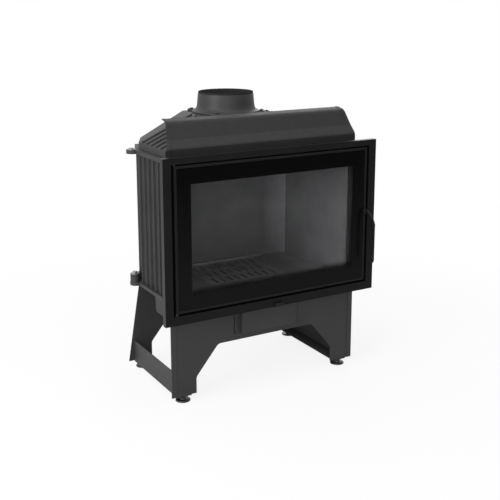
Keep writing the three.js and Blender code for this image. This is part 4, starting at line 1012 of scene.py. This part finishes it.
pin_steel = finish_with(metal_look, "pin_steel", (0.30, 0.30, 0.30), sheen=0.3, specular=0.5, relief=0.1,
                        metallic=1.0)
for node, body in (("latch_spindle", "handle"), ("latch_cam", "handle"), ("latch_keeper", "root")):
    eased(node, 0.0006, pin_steel, "bare_steel", body=body)
cam_nut_flats, cam_nut_height = 0.010, 0.0045
spot = (spindle_x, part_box("latch_cam")[1].y, spindle_z)
fasten("cam_nut", hexagon(cam_nut_flats, cam_nut_height, spot, (0, 1, 0), dome=0.0005), "handle")
low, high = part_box("latch_keeper")
keeper_screw = 0.0034
keeper_end = 0.0045
for number, level in enumerate((low.z + keeper_end, high.z - keeper_end)):
    fasten(f"keeper_screw_{number + 1}",
           pan_screw(((low.x + high.x) / 2, high.y, level), (0, 1, 0), keeper_screw))

# ---------- Floor and light ----------
# A plain white studio: a large soft lamp on the left, weaker ones in front, behind and above, and a white
# room for the eye. Seen directly or through the glass, the floor is mixed with white, more so far away.
floor_size = 14.0
floor_mesh = bpy.data.meshes.new("studio_floor")
floor_corners = np.array([(-1, -1, 0), (1, -1, 0), (1, 1, 0), (-1, 1, 0)]) * floor_size
floor_mesh.from_pydata(floor_corners.tolist(), [], [(0, 1, 2, 3)])
floor = bpy.data.objects.new("studio_floor", floor_mesh)
scene.collection.objects.link(floor)
floor_material, tree, shader = new_material("studio_floor")
feed(shader, {"Base Color": (0.92, 0.92, 0.92, 1), "Roughness": 1.0, "Specular IOR Level": 0.0})
white = wire(tree, "Emission", {"Color": (1, 1, 1, 1), "Strength": 1.0})
path = wire(tree, "LightPath").outputs
distance = wire(tree, "VectorMath", {0: place_in(tree)}, operation="LENGTH").outputs["Value"]
share = spread(tree, distance, 0.86, 1.0, 0.5, 1.8)
seen = calc(tree, "MAXIMUM", path["Is Camera Ray"], path["Is Transmission Ray"])
mix = wire(tree, "MixShader", {0: calc(tree, "MULTIPLY", seen, share), 1: shader.outputs["BSDF"],
                                         2: white.outputs["Emission"]})
feed(tree.nodes["Material Output"], {"Surface": mix.outputs["Shader"]})
floor_mesh.materials.append(floor_material)

world = bpy.data.worlds.new("studio")
scene.world = world
world.use_nodes = True
tree = world.node_tree
ambient = 0.42
path = wire(tree, "LightPath").outputs
seen = calc(tree, "MAXIMUM", path["Is Camera Ray"], path["Is Glossy Ray"])
seen = calc(tree, "MAXIMUM", seen, path["Is Transmission Ray"])
strength = wire(tree, "MapRange", {"Value": seen, "To Min": ambient, "To Max": 1.0})
feed(tree.nodes["Background"], {"Color": (1, 1, 1, 1), "Strength": strength.outputs["Result"]})

lamp_target = np.array([0, 0, 0.5])
for name, place, size, power in (
        ("left_lamp", (-3.4, -0.9, 1.9), 2.2, 98), ("front_lamp", (-1.7, -3.6, 1.7), 1.8, 30),
        ("rear_lamp", (2.4, 3.2, 2.0), 2.0, 30), ("top_lamp", (-0.5, -0.5, 3.4), 2.0, 26)):
    data = bpy.data.lights.new(name, "AREA")
    data.shape = "SQUARE"
    data.size = size
    data.energy = power
    lamp = bpy.data.objects.new(name, data)
    way = lamp_target - np.array(place)
    lamp.location = place
    lamp.rotation_euler = (math.atan2(math.hypot(way[0], way[1]), -way[2]), 0,
                           math.atan2(way[1], way[0]) - math.pi / 2)
    scene.collection.objects.link(lamp)
